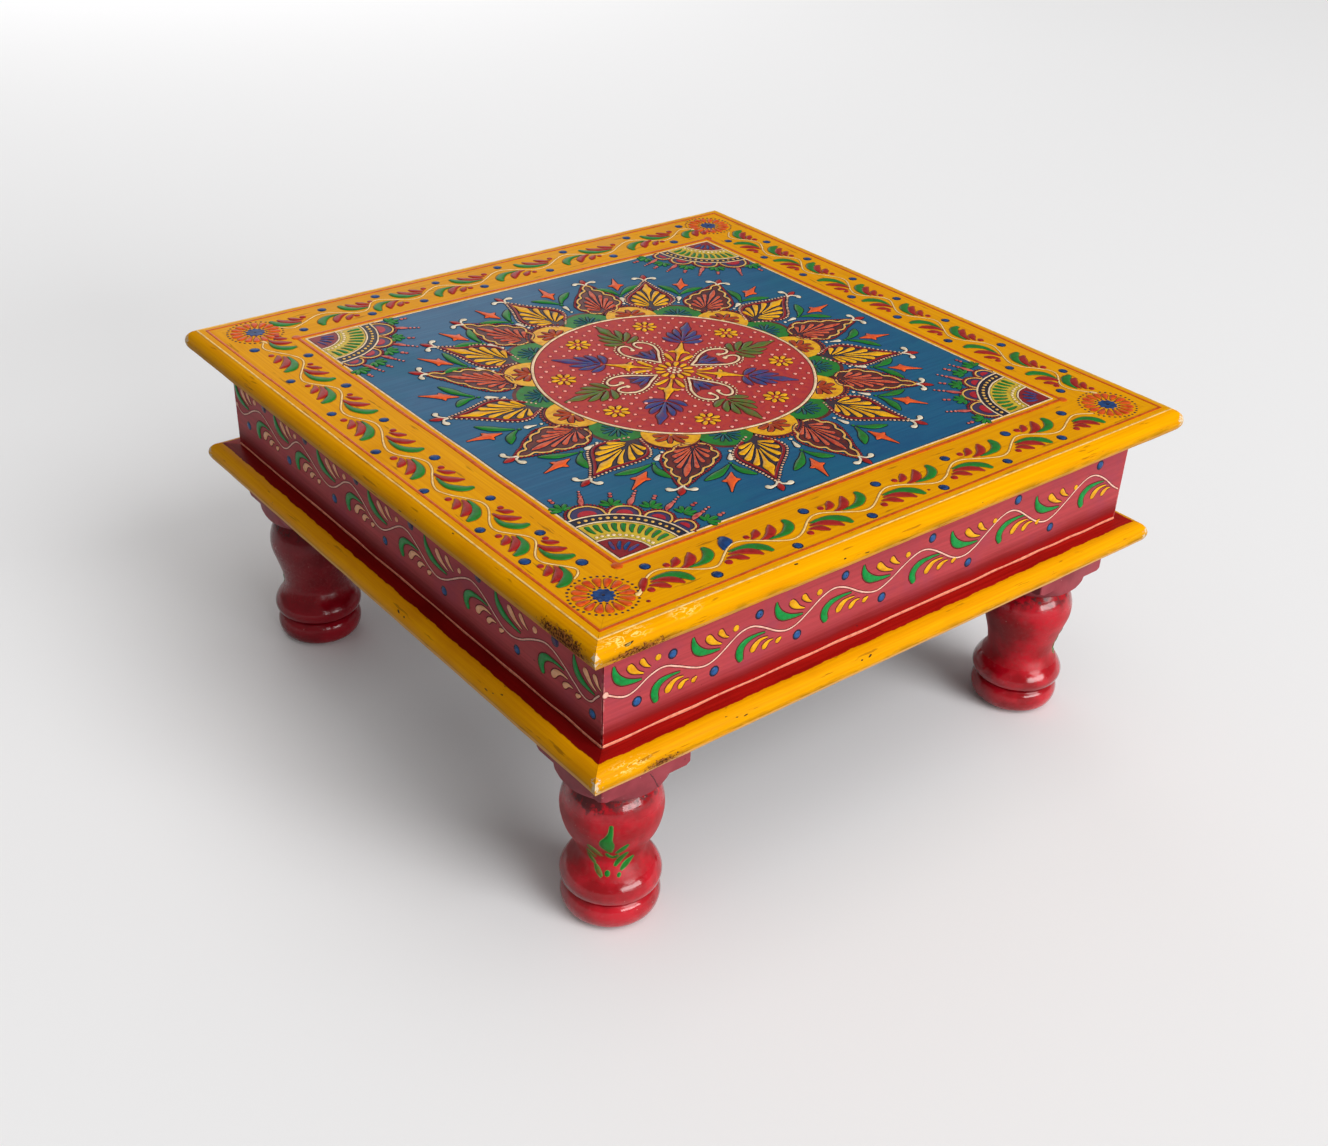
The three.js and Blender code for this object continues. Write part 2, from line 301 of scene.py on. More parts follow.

# %% [markdown]
# The frame of the top is a deep mango yellow, and its noses take the knocks. Three spots by the near corner
# are worn down to brown wood, and round them thin pale threads are painted highlights, as of wrinkled enamel
# catching the light. The spots are listed by their middle and their reach, and a function tells how near to
# a spot a place is.

# %% Worn spots and painted glints
nose_radius = (rail_high.z - rail_low.z) / 2
worn_spots = [
    (Vector((-189.0, -169.0, 180.4)) * mm, Vector((7.0, 25.0, 6.6)) * mm, 0.55),
    (Vector((-167.0, -189.0, 178.8)) * mm, Vector((26.0, 7.0, 4.8)) * mm, 0.42),
    (Vector((-150.0, -186.0, 111.6)) * mm, Vector((17.0, 6.0, 4.4)) * mm, 0.38),
]
painted_glint_spots = [
    (Vector((-174.0, -187.0, 185.6)) * mm, Vector((17.0, 6.0, 4.4)) * mm),
    (Vector((-142.0, -187.0, 187.0)) * mm, Vector((11.0, 5.0, 3.4)) * mm),
    (Vector((-168.0, -184.0, 116.6)) * mm, Vector((17.0, 6.0, 3.4)) * mm),
]


def nearness(finish, centre, reach):
    """1 at a spot and 0 at the rim of the ellipsoid round it."""
    axes = (finish.x, finish.y, finish.z)
    parts = [(axis - middle) * (1 / half) for axis, middle, half in zip(axes, centre, reach)]
    squares = [part * part for part in parts]
    return 1 - (squares[0] + squares[1] + squares[2]).math("SQRT")


def on_left(finish):
    """1 on the boards of the left side, which faces away from the light, and 0 elsewhere. Most of its uses
    darken that side as painted shade.
    """
    return (finish.x * -1 - abs(finish.y)).rise(-0.4 * mm, 0.4 * mm)


def mitred_places(finish):
    """For a mitred square: the place along its bars, the distance out, and the height."""
    runs_along_x = side_run(finish)
    along = finish.blend(runs_along_x, finish.y, finish.x)
    out = abs(finish.x).math("MAXIMUM", abs(finish.y))
    return along, out, finish.z


def worn_to_wood(finish, colour, smear, scratches):
    """The colour with brown wood in its worn spots, and a mask of that wood."""
    worn = scratches * 0
    for centre, extent, depth in worn_spots:
        area = nearness(finish, centre, extent)
        colour = finish.mix(area.rise(0.0, 0.6) * smear.rise(0.3, 0.6) * depth, colour, srgb(126, 74, 16))
        worn = worn.math("MAXIMUM", (area * depth + scratches).rise(0.7, 0.76) * area.rise(0.0, 0.15))
    blotches = finish.noise(1.3 * mm, 3.0)
    old_wood = finish.mix(blotches.rise(0.42, 0.58), srgb(160, 98, 44), srgb(74, 40, 18))
    return finish.mix(worn, colour, old_wood), worn


def painted_glints(finish, colour, along, out, level):
    """The colour with painted highlights, thin pale threads, in its glint spots."""
    wrinkles = finish.noise(1.9 * mm, 2.0, finish.combined(along * 0.4, out, level), roughness=0.6)
    glint_threads = 1 - abs(wrinkles - 0.55).rise(0.01, 0.05)
    for centre, extent in painted_glint_spots:
        share = glint_threads * nearness(finish, centre, extent).rise(0.0, 0.7) * 0.55
        colour = finish.mix(share, colour, srgb(255, 232, 140))
    return colour


print("worn spots:", len(worn_spots), "crinkled spots:", len(painted_glint_spots))

# %% [markdown]
# The yellow is brushed along each bar. On the nose it has small chips and, near the corners, pale scratches.
# Olive grime lies low on each nose, and on the left side the whole lower nose is darkened, as painted shade.
# Along its lowest edge the brush missed a line of bare primer.

# %% Yellow paint


def yellow_layers(finish, low, reach, primed=0.35):
    """Yellow, its wear and its relief, for a nosed bar that reaches out to a distance."""
    along, out, level = mitred_places(finish)
    brushed = streaks(finish, along, out, level, 70 * mm, 1.3 * mm)
    clouds = finish.noise(40 * mm, 3.0)
    colour = finish.mix(brushed.rise(0.3, 0.7), srgb(218, 144, 0), srgb(230, 160, 0))
    colour = finish.mix(clouds.rise(0.5, 0.8) * 0.5, colour, srgb(208, 132, 0))
    on_nose = out.rise(reach - nose_radius, reach - nose_radius * 0.7)
    underside = 1 - level.rise(low + 5.2 * mm, low + 9.0 * mm)
    smear = finish.noise(7 * mm, 4.0, finish.combined(along * 0.35, out, level * 1.6), roughness=0.7)
    left = on_left(finish)
    # Grime lies in patches low on the nose, and on the left side the lower nose is darkened all along, as
    # painted shade.
    nose_grime_and_shade = on_nose * underside * smear.rise(0.42, 0.62).math("MAXIMUM", left * 0.6)
    colour = finish.mix(nose_grime_and_shade * 0.55, colour, srgb(132, 98, 22))
    lowest = (1 - (level - left * (1.5 * mm)).rise(low + 4.4 * mm, low + 5.3 * mm)) * on_nose
    primer = lowest * smear.rise(0.3, 0.5).math("MAXIMUM", left * 0.9) * primed
    colour = finish.mix(primer, colour, srgb(230, 178, 110))
    long_marks = finish.noise(3 * mm, 3.0, finish.combined(along * 0.12, out, level), roughness=0.6)
    colour = finish.mix(long_marks.rise(0.64, 0.7) * 0.6, colour, srgb(138, 84, 10))
    chip_clouds = finish.noise(6.5 * mm, 2.0, finish.combined(along * 0.55, out, level * 1.3), roughness=0.65)
    chips = chip_clouds.rise(0.715, 0.73) * on_nose
    colour = finish.mix(chips, colour, srgb(70, 52, 26))
    corner = (abs(finish.x) + abs(finish.y)).rise(2 * reach - 9 * mm, 2 * reach - 1.0 * mm)
    scratches = finish.noise(1.5 * mm, 4.0, finish.combined(along * 0.7, out, level), roughness=0.75)
    bare = (corner * 0.3 + scratches).rise(0.77, 0.8) * on_nose
    colour = finish.mix(bare, colour, srgb(218, 196, 160))
    colour, worn = worn_to_wood(finish, colour, smear, scratches)
    # Pale threads near the corners are painted highlights.
    colour = painted_glints(finish, colour, along, out, level)
    relief = brushed * 0.6 - chips * 2.5 - worn * 2.0 - bare * 1.2 + clouds * 0.6 + scratches * 0.25
    rough = finish.blend(nose_grime_and_shade.math("MAXIMUM", worn), 0.36, 0.7)
    return colour, relief, rough, (along, out, level, brushed, clouds)


def rail_paint():
    finish = Finish("rail_paint", gleam=0.02)
    colour, relief, rough, _ = yellow_layers(finish, rail_low.z, top_half)
    return finish.use(Base_Color=colour, Roughness=rough, Normal=finish.bump(relief, 0.2 * mm, 0.55))


yellow_paint = rail_paint()
print("materials:", yellow_paint.name)

# %% [markdown]
# The lower moulding has the same yellow on its nose alone. Its ledge is crimson, painted darker on the
# left side as painted shade, with an edge as unsteady as a brush run along a corner leaves it, and its
# underside is a dark red.

# %% Moulding paint


def moulding_paint():
    finish = Finish("moulding_paint", gleam=0.04)
    yellow, relief, rough, layers = yellow_layers(finish, moulding_low.z, moulding_nose, 0.9)
    along, out, level, brushed, clouds = layers
    crimson = finish.mix(brushed.rise(0.3, 0.7), srgb(150, 16, 12), srgb(176, 26, 20))
    crimson = finish.mix(clouds.rise(0.45, 0.7) * 0.5, crimson, srgb(120, 12, 14))
    # The left side's crimson is painted darker, as painted shade.
    crimson = finish.mix(on_left(finish) * 0.6, crimson, srgb(92, 6, 8))
    wobble = finish.noise(9 * mm, 3.0, finish.combined(along, level, 0.0)) - 0.5
    past_ledge = (out + wobble * (2.4 * mm)).rise(moulding_nose - 6.6 * mm, moulding_nose - 6.2 * mm)
    above_underside = level.rise(moulding_low.z + 0.6 * mm, moulding_low.z + 1.0 * mm)
    on_nose = past_ledge * above_underside
    under = 1 - level.rise(moulding_low.z + 0.1 * mm, moulding_low.z + 0.4 * mm)
    colour = finish.mix(on_nose, crimson, yellow)
    colour = finish.mix(under, colour, srgb(112, 34, 34))
    return finish.use(Base_Color=colour, Roughness=rough, Normal=finish.bump(relief, 0.2 * mm, 0.55))


ledge_paint = moulding_paint()
print("materials:", ledge_paint.name)

# %% [markdown]
# The aprons are a dusty rose that was brushed along their length. A band of crimson runs along the foot,
# blended into the rose while both were wet, and painted darker on the left side as painted shade. Under the
# overhanging top the rose is darkened as painted shade.

# %% Rose paint
band_height = 10 * mm


def apron_paint():
    finish = Finish("apron_paint")
    along, out, level = mitred_places(finish)
    brushed = streaks(finish, along, level, out, 60 * mm, 1.6 * mm)
    blots = finish.noise(7 * mm, 4.0, finish.combined(along * 0.7, level, out), roughness=0.65)
    clouds = finish.noise(34 * mm, 3.0)
    colour = finish.mix(brushed.rise(0.3, 0.7), srgb(162, 61, 66), srgb(180, 67, 73))
    colour = finish.mix(clouds.rise(0.45, 0.75) * 0.8, colour, srgb(152, 64, 82))
    colour = finish.mix(blots.rise(0.5, 0.72) * 0.5, colour, srgb(178, 70, 72))
    edge = level + (brushed - 0.5) * (4 * mm) + (clouds - 0.5) * (5 * mm)
    band = 1 - edge.rise(apron_foot + band_height * 0.5, apron_foot + band_height * 1.6)
    above_foot = edge.rise(apron_foot + 2 * mm, apron_foot + 8 * mm)
    crimson = finish.mix(above_foot, srgb(152, 12, 11), srgb(122, 20, 22))
    # The left side's crimson band is painted darker, as painted shade.
    crimson = finish.mix(on_left(finish) * 0.45, crimson, srgb(84, 8, 14))
    colour = finish.mix(band, colour, crimson)
    # The rose is darkened under the overhanging top, as painted shade.
    shade_under_top = level.rise(apron_high.z - 16 * mm, apron_high.z)
    colour = finish.mix(shade_under_top * 0.35, colour, srgb(104, 44, 62))
    colour = finish.mix(specks(finish, 4 * mm, 0.03) * 0.6, colour, srgb(74, 22, 28))
    corner = (abs(finish.x) + abs(finish.y)).rise(2 * apron_face - 2.4 * mm, 2 * apron_face - 0.6 * mm)
    rubbed = (finish.noise(3 * mm, 3.0) * 0.6 + corner * 0.5).rise(0.76, 0.86)
    colour = finish.mix(rubbed * 0.7, colour, srgb(196, 120, 116))
    inside = 1 - out.rise(apron_face - 4 * mm, apron_face - 2 * mm)
    colour = finish.mix(inside, colour, srgb(150, 104, 66))
    relief = brushed * 0.8 + clouds * 0.4
    return finish.use(
        Base_Color=colour,
        Roughness=finish.blend(clouds.rise(0.3, 0.7), 0.42, 0.56),
        Normal=finish.bump(relief, 0.16 * mm, 0.5),
    )


rose_paint = apron_paint()
print("materials:", rose_paint.name)

# %% [markdown]
# The legs were painted red on the lathe's own marks and given a thick gloss, which hands and feet keep clean
# on the foot and on the ball's shoulder, while the waist has gone dull with dust. The groove above the foot
# is darkened as painted shade. The square head has the aprons' dusty rose, and under it a dark band is soot
# and painted shade. The back left leg, away from the light, is painted darker than the rest as painted shade.
# The leg nearest the camera has more soot and painted shade at the foot of its head, on its left side, and a
# fine crack up the head's front face. Thin rings, a noise that changes with the height, stand for the marks
# of the turning gouge.

# %% Leg paint
groove_level = 16.4 * mm
crease_level = 79.0 * mm
# The spot where the near leg's head is darkened most, with soot and painted shade.
dark_head_spot = Vector((-165.0, -154.0, 77.5)) * mm
dark_head_reach = Vector((17.0, 17.0, 9.0)) * mm
crack_foot = Vector((-135.5, -170.2, 76.0)) * mm
crack_lean = 0.52


def head_crack(finish, fine):
    """1 along the fine crack in the near leg's head."""
    climb = finish.z - crack_foot.z
    strayed = abs(finish.x - crack_foot.x + climb * crack_lean + (fine - 0.5) * (3 * mm))
    on_front_face = 1 - finish.y.rise(crack_foot.y, crack_foot.y + 0.4 * mm)
    crack = (1 - strayed.rise(0.15 * mm, 0.5 * mm)) * on_front_face
    return crack * climb.rise(-3 * mm, -2 * mm) * (1 - climb.rise(16 * mm, 18 * mm))


def leg_paint():
    finish = Finish("leg_paint", 0.2, 0.26)
    level = finish.z
    clouds = finish.noise(16 * mm, 3.0)
    fine = finish.noise(2.5 * mm, 4.0)
    rings = finish.noise(0.9 * mm, 2.0, finish.combined(finish.x * 0.02, finish.y * 0.02, level))
    colour = finish.mix(clouds.rise(0.35, 0.65), srgb(148, 2, 16), srgb(192, 18, 36))
    colour = finish.mix(fine.rise(0.58, 0.8) * 0.35, colour, srgb(196, 70, 84))
    # The back left leg is painted darker than the others, as painted shade.
    back_leg_shade = (finish.y - finish.x).rise(100 * mm, 200 * mm)
    colour = finish.mix(back_leg_shade * 0.7, colour, srgb(96, 4, 18))
    dusty = level.rise(28.5 * mm, 30.5 * mm) * (1 - level.rise(64 * mm, 71 * mm)) * (1 - back_leg_shade * 0.6)
    colour = finish.mix(dusty * fine.rise(0.35, 0.65) * 0.25, colour, srgb(138, 62, 58))
    wobble = (clouds - 0.5) * (3 * mm)
    # The groove above the foot is darkened, as painted shade.
    groove_shade = 1 - abs(level - groove_level).rise(0.2 * mm, 1.3 * mm)
    # Under the head the paint is darkened with soot and painted shade.
    in_crease = 1 - abs(level + wobble - crease_level + 2 * mm).rise(1.0 * mm, 8.0 * mm)
    grains = finish.noise(3.4 * mm, 4.0, roughness=0.7)
    near_dark_head = nearness(finish, dark_head_spot, dark_head_reach)
    soot_and_shade = (in_crease * grains.rise(0.45, 0.62)).math("MAXIMUM", (near_dark_head * 0.5 + grains).rise(0.62, 0.8))
    colour = finish.mix((groove_shade * 0.85).math("MAXIMUM", soot_and_shade * 0.85), colour, srgb(46, 8, 12))
    head = level.rise(crease_level - 0.4 * mm, crease_level + 0.6 * mm)
    rose = finish.mix(clouds.rise(0.3, 0.7), srgb(128, 45, 54), srgb(156, 61, 70))
    rose = finish.mix(specks(finish, 5 * mm, 0.04) * 0.7, rose, srgb(62, 24, 32))
    colour = finish.mix(head, colour, rose)
    colour = finish.mix(head_crack(finish, fine) * 0.85, colour, srgb(44, 14, 18))
    raw = level.rise(leg_top - 0.3 * mm, leg_top + 0.3 * mm)
    colour = finish.mix(raw, colour, srgb(176, 132, 84))
    chips = specks(finish, 2.2 * mm, 0.025)
    colour = finish.mix(chips * 0.8, colour, srgb(214, 168, 160))
    gloss = finish.blend(fine.rise(0.3, 0.7), 0.08, 0.2)
    rough = finish.blend(head.math("MAXIMUM", soot_and_shade).math("MAXIMUM", dusty * 0.8), gloss, 0.5)
    ripples = finish.noise(1.6 * mm, 3.0, finish.stretched((1.0, 1.0, 0.7)), roughness=0.7)
    relief = rings * 0.5 + clouds * 2.0 - chips * 1.5 + ripples * 0.9
    lacquer = (1 - head) * (1 - dusty) * (1 - back_leg_shade) * 0.45
    return finish.use(
        Base_Color=colour, Roughness=rough, Coat_Weight=lacquer, Normal=finish.bump(relief, 0.2 * mm, 0.5)
    )


red_gloss = leg_paint()
print("materials:", red_gloss.name)

# %% [markdown]
# Inside the box nothing was painted: the blocks, cleats and battens are raw mango wood with saw marks, and
# the screws are steel with a little rust. The grain is the noise of the brush streaks again, stretched
# further, with rings of darker wood from a distorted wave.

# %% Wood and steel


def raw_wood(name, run):
    """Sawn wood whose grain runs along X or Y."""
    finish = Finish(name, 0.8, 0.3)
    along, across = (finish.x, finish.y) if run == "x" else (finish.y, finish.x)
    fibres = streaks(finish, along, across, finish.z, 80 * mm, 0.8 * mm, 5.0)
    broad = finish.noise(9 * mm, 3.0, finish.combined(along * 0.08, across, finish.z), distortion=1.5)
    colour = finish.mix(broad.rise(0.35, 0.65), srgb(196, 150, 98), srgb(158, 110, 64))
    colour = finish.mix(fibres.rise(0.55, 0.75) * 0.6, colour, srgb(112, 74, 42))
    saw = finish.noise(1.2 * mm, 1.0, finish.combined(along, across * 0.04, finish.z * 0.04))
    relief = fibres + saw * 0.5
    return finish.use(Base_Color=colour, Normal=finish.bump(relief, 0.3 * mm, 0.6))


def rusty_steel():
    finish = Finish("screw_steel", 0.35, 0.5)
    rust = finish.noise(1.6 * mm, 4.0, roughness=0.7).rise(0.5, 0.68)
    colour = finish.mix(rust * 0.8, srgb(172, 170, 166), srgb(116, 72, 44))
    return finish.use(
        Base_Color=colour,
        Metallic=1 - rust * 0.9,
        Roughness=finish.blend(rust, 0.3, 0.75),
        Normal=finish.bump(rust, 0.05 * mm, 0.5),
    )


wood_along_x = raw_wood("bare_wood_x", "x")
wood_along_y = raw_wood("bare_wood_y", "y")
steel = rusty_steel()
print("materials:", len(bpy.data.materials))

# %% [markdown]
# The ornament is thick paint from a cone, in some forty colours and shades. Each has its own material: a
# colour with faint clouds of a second one in it, the soft gloss of dried enamel, and the small lumps of a
# line squeezed out by hand. The table lists the colour and then the one that clouds it.

# %% Cone paints


def cone_paint(name, colour, clouding, roughness):
    """Raised paint: its colour, a second colour to cloud it with, and how rough it is."""
    finish = Finish("cone_" + name, roughness, 0.14)
    clouds = finish.noise(3.2 * mm, 3.0)
    mottled = finish.mix(clouds.rise(0.4, 0.68), colour, clouding)
    lumps = finish.noise(1.1 * mm, 2.0)
    return finish.use(Base_Color=mottled, Normal=finish.bump(lumps, 0.12 * mm, 0.5))


cone_colours = {
    "cream": ((236, 210, 170), (214, 178, 136)),
    "vine_gold": ((240, 204, 136), (226, 180, 96)),
    "edge_gold": ((236, 196, 120), (216, 168, 86)),
    "shade_blue": ((10, 32, 54), (34, 24, 38)),
    "shade_rose": ((88, 22, 28), (104, 28, 34)),
    "shade_yellow": ((146, 84, 2), (168, 100, 2)),
    "shade_disc": ((112, 28, 24), (92, 26, 22)),
    "leaf_edge": ((104, 144, 76), (84, 112, 58)),
    "wheat": ((246, 186, 142), (230, 166, 120)),
    "shade_green": ((120, 124, 34), (96, 108, 30)),
    "slate_violet": ((52, 50, 92), (70, 40, 70)),
    "teal": ((22, 84, 98), (18, 98, 78)),
    "bud_pink": ((198, 100, 88), (164, 50, 54)),
    "yellow": ((232, 172, 14), (212, 142, 12)),
    "lemon": ((206, 176, 40), (190, 150, 30)),
    "orange": ((226, 92, 34), (210, 76, 34)),
    "coral": ((202, 92, 60), (176, 58, 42)),
    "flame": ((214, 86, 14), (188, 52, 18)),
    "red": ((160, 30, 26), (142, 22, 20)),
    "scarlet": ((176, 26, 44), (158, 22, 36)),
    "crimson": ((136, 20, 30), (116, 14, 26)),
    "rust": ((204, 86, 4), (182, 68, 4)),
    "green": ((24, 120, 42), (38, 104, 30)),
    "olive": ((78, 108, 44), (112, 92, 44)),
    "blue": ((22, 66, 124), (16, 44, 92)),
    "bright_leaf": ((10, 142, 62), (18, 120, 50)),
    "damson": ((58, 40, 84), (44, 26, 54)),
    "violet": ((48, 66, 122), (96, 48, 92)),
    "plum": ((92, 26, 48), (72, 22, 50)),
    "ink": ((34, 26, 44), (24, 30, 52)),
    "pink": ((240, 164, 150), (226, 134, 118)),
    "salmon": ((232, 150, 120), (214, 118, 92)),
    "blush": ((220, 182, 146), (196, 132, 104)),
    "straw": ((224, 178, 92), (208, 150, 60)),
    "slate": ((40, 92, 150), (40, 66, 116)),
    "white": ((226, 214, 190), (204, 188, 160)),
    "maroon": ((104, 34, 26), (74, 26, 34)),
    "dusk": ((62, 40, 50), (38, 44, 66)),
    "umber": ((84, 34, 30), (56, 34, 50)),
    "rust_red": ((164, 62, 22), (140, 40, 24)),
    "disc_red": ((180, 54, 46), (168, 42, 52)),
    "vine_pink": ((240, 190, 172), (222, 160, 142)),
}
usual_roughness = 0.32
wash_roughness = 0.6
duller = {"leaf_edge": 0.4, "disc_red": 0.42}


def roughness_of(name):
    """The washes of shade dry dull, and most other colours dry with a soft gloss."""
    return wash_roughness if name.startswith("shade_") else duller.get(name, usual_roughness)


cone_paints = {
    name: cone_paint(name, srgb(*colour), srgb(*clouding), roughness_of(name))
    for name, (colour, clouding) in cone_colours.items()
}
print("cone paints:", len(cone_paints))

# %% [markdown]
# Modelling by operators works as it does by hand: add a primitive, go into edit mode, select, and act.
# Selecting is the part that a hand does by eye, so a helper selects by a rule instead. It must start from
# nothing selected, because an operator acts on everything that is selected.

# %% Working in edit mode


def take(piece):
    """Selects one object alone and makes it the active one."""
    bpy.ops.object.select_all(action="DESELECT")
    piece.select_set(True)
    bpy.context.view_layer.objects.active = piece


def mode(name):
    bpy.ops.object.mode_set(mode=name)


def select_all():
    """In edit mode, selects the whole mesh."""
    bpy.ops.mesh.select_all(action="SELECT")


def link(piece):
    bpy.context.scene.collection.objects.link(piece)


def pick(kind, rule):
    """In edit mode, selects the vertices, edges or faces that a rule holds for."""
    bpy.ops.mesh.select_mode(type=kind)
    bpy.ops.mesh.select_all(action="DESELECT")
    shape = bmesh.from_edit_mesh(bpy.context.edit_object.data)
    items = {"VERT": shape.verts, "EDGE": shape.edges, "FACE": shape.faces}[kind]
    for item in [item for item in items if rule(item)]:
        item.select_set(True)
    bmesh.update_edit_mesh(bpy.context.edit_object.data)


def middle(edge):
    return (edge.verts[0].co + edge.verts[1].co) / 2


def run(edge):
    return (edge.verts[1].co - edge.verts[0].co).normalized()


print("rules can pick vertices, edges or faces")

# %% [markdown] Many pieces go through the same few steps: smooth shading, a modifier that is applied at
# once, a copy turned to its own side, and the paint.

# %% Finishing a piece


def smooth(piece, degrees=35):
    take(piece)
    bpy.ops.object.shade_smooth_by_angle(angle=math.radians(degrees))


def apply_modifier(piece, kind, **settings):
    take(piece)
    modifier = piece.modifiers.new(kind.lower(), kind)
    for name, value in settings.items():
        setattr(modifier, name, value)
    bpy.ops.object.modifier_apply(modifier=modifier.name)


def turned_copy(model, name, turn):
    """A copy with its own mesh, turned about the table's middle by quarter turns."""
    copy = model.copy()
    copy.data = model.data.copy()
    copy.name = name
    copy.data.name = name
    copy.data.transform(Matrix.Rotation(turn * quarter, 4, "Z"))
    link(copy)
    return copy


def settle(piece, slot, material, *nodes):
    """Gives a finished piece its paint and its body, and hides the frame's nodes that it stands for. The slot
    is not used.
    """
    piece.data.materials.clear()
    piece.data.materials.append(material)
    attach(piece, "root")
    if nodes:
        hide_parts(*nodes)


def remove(piece):
    bpy.data.objects.remove(piece, do_unlink=True)


print("one quarter turn is", round(math.degrees(quarter)), "degrees")

# %% [markdown]
# The top's rails and the lower mouldings are the same kind of bar: flat, with a half-round nose, mitred at
# both ends. A box gets its two outer edges bevelled until they meet in a half circle, is cut into short
# lengths so that it can undulate, and is bisected on the two mitre planes. A little displacement on the
# nose alone gives the unevenness of a plane pushed by hand. The rails also have the groove for the panel.

# %% Nosed bars
nose_steps = 14
length_cuts = 72
mitre_gap = 0.04 * mm
mark_depth = 0.5 * mm
plane_marks = bpy.data.textures.new("plane_marks", "CLOUDS")
plane_marks.noise_scale = 22 * mm
plane_marks.noise_depth = 1


def cut_groove(inner, low, high, depth, width):
    """In edit mode, sinks a groove into a box's inner face."""
    pick("EDGE", lambda edge: abs(run(edge).z) > 0.9 and middle(edge).y > -inner - mm)
    bpy.ops.mesh.subdivide(number_cuts=2)
    halfway = (high + low) / 2
    for up in (1, -1):
        third = halfway + up * (high - low) / 6
        pick("VERT", lambda vert: abs(vert.co.z - third) < 0.1 * mm)
        bpy.ops.transform.translate(value=(0, 0, halfway + up * width / 2 - third))
    pick("FACE", lambda face: face.normal.y > 0.9 and abs(face.calc_center_median().z - halfway) < mm)
    bpy.ops.mesh.extrude_region_move(TRANSFORM_OT_translate={"value": (0, -depth, 0)})


def nosed_bar(name, inner, outer, low, high, groove=None):
    """The front bar of a mitred square. A groove is its depth and its width."""
    radius = (high - low) / 2
    bpy.ops.object.select_all(action="DESELECT")
    bpy.ops.mesh.primitive_cube_add(size=1, location=(0, -(inner + outer) / 2, (low + high) / 2))
    bar = bpy.context.object
    bar.name = name
    bar.scale = (2 * outer, outer - inner, high - low)
    bpy.ops.object.transform_apply(location=True, scale=True)
    mode("EDIT")
    if groove:
        cut_groove(inner, low, high, *groove)
    pick("EDGE", lambda edge: abs(run(edge).x) > 0.9 and middle(edge).y < -outer + 0.1 * mm)
    bpy.ops.mesh.bevel(offset=radius * 0.9999, segments=nose_steps, profile=0.5, affect="EDGES")
    select_all()
    bpy.ops.mesh.remove_doubles(threshold=0.005 * mm)
    pick("EDGE", lambda edge: abs(run(edge).x) > 0.9)
    bpy.ops.mesh.subdivide(number_cuts=length_cuts)
    for end in (-1, 1):
        select_all()
        bpy.ops.mesh.bisect(
            plane_co=(0, -mitre_gap, 0), plane_no=(end, 1, 0), use_fill=True, clear_outer=True,
        )
    select_all()
    bpy.ops.mesh.normals_make_consistent(inside=False)
    mode("OBJECT")
    return bar


def undulate(bar, reach):
    """Makes a bar's nose uneven, and leaves its flat faces as they are."""
    on_nose = bar.vertex_groups.new(name="nose")
    outer = [v.index for v in bar.data.vertices if max(abs(v.co.x), abs(v.co.y)) > reach - nose_radius * 0.96]
    on_nose.add(outer, 1.0, "REPLACE")
    apply_modifier(
        bar, "DISPLACE", texture=plane_marks, strength=mark_depth, mid_level=0.6, vertex_group="nose",
        texture_coords="LOCAL",
    )
    bar.vertex_groups.clear()


print("steps round a nose:", nose_steps)

# %% [markdown]
# One rail and one moulding are made, and each is copied to the four sides. The waves are put on after the
# turn, because they depend on the place, and so no two sides are the same.

# %% Rails and mouldings
groove_size = (6.3 * mm, 5.6 * mm)
rail_model = nosed_bar("rail_model", panel_edge, top_half, rail_low.z, rail_high.z, groove_size)
moulding_model = nosed_bar("moulding_model", moulding_inner, moulding_nose, moulding_low.z, moulding_high.z)
for turn, side in enumerate(sides):
    rail = turned_copy(rail_model, "rail_" + side, turn)
    undulate(rail, top_half)
    smooth(rail)
    settle(rail, "yellow_paint", yellow_paint, "top_rail_" + side)
    moulding = turned_copy(moulding_model, "nosing_" + side, turn)
    undulate(moulding, moulding_nose)
    smooth(moulding)
    settle(moulding, "moulding_paint", ledge_paint, "moulding_" + side)
print("rail:", len(rail.data.polygons), "faces")
remove(rail_model)
remove(moulding_model)

# %% [markdown]
# Many shapes here are easiest to give as a smooth line through a few knots. Blender can work out the points
# between two knots once each has a handle on both sides, and a handle that runs along the line between the
# neighbours gives a curve without a kink.

# %% Smooth lines


def smooth_line(knots, steps):
    """A smooth line through knots, with so many points from each knot to the next."""
    points = [Vector(knot[:2]) for knot in knots]
    points = [2 * points[0] - points[1], *points, 2 * points[-1] - points[-2]]
    trail = []
    for before, start, end, after in zip(points, points[1:], points[2:], points[3:]):
        lead, follow = start + (end - before) / 6, end - (after - start) / 6
        trail += mathutils.geometry.interpolate_bezier(start, lead, follow, end, steps + 1)[:-1]
    trail.append(points[-2])
    return [tuple(point[:2]) for point in trail]


print("points through three knots:", len(smooth_line([(0, 0), (1, 1), (2, 0)], 4)))

# %% [markdown]
# A leg is turned from square stock. On a lathe the wood spins against the gouge; here a ring of vertices is
# extruded up the leg's axis and scaled to the outline's radius at each step. Two smooth lines meet in the
# sharp groove above the foot's disc: one for the disc, and one that runs up over the bead, through the
# waist and over the ball. Cutting the turned form with the square stock then leaves the head with its
# rounded lower corners, as on the real leg. They were turned by hand: the front left leg came out with a
# slim waist, and the others with a fuller one.

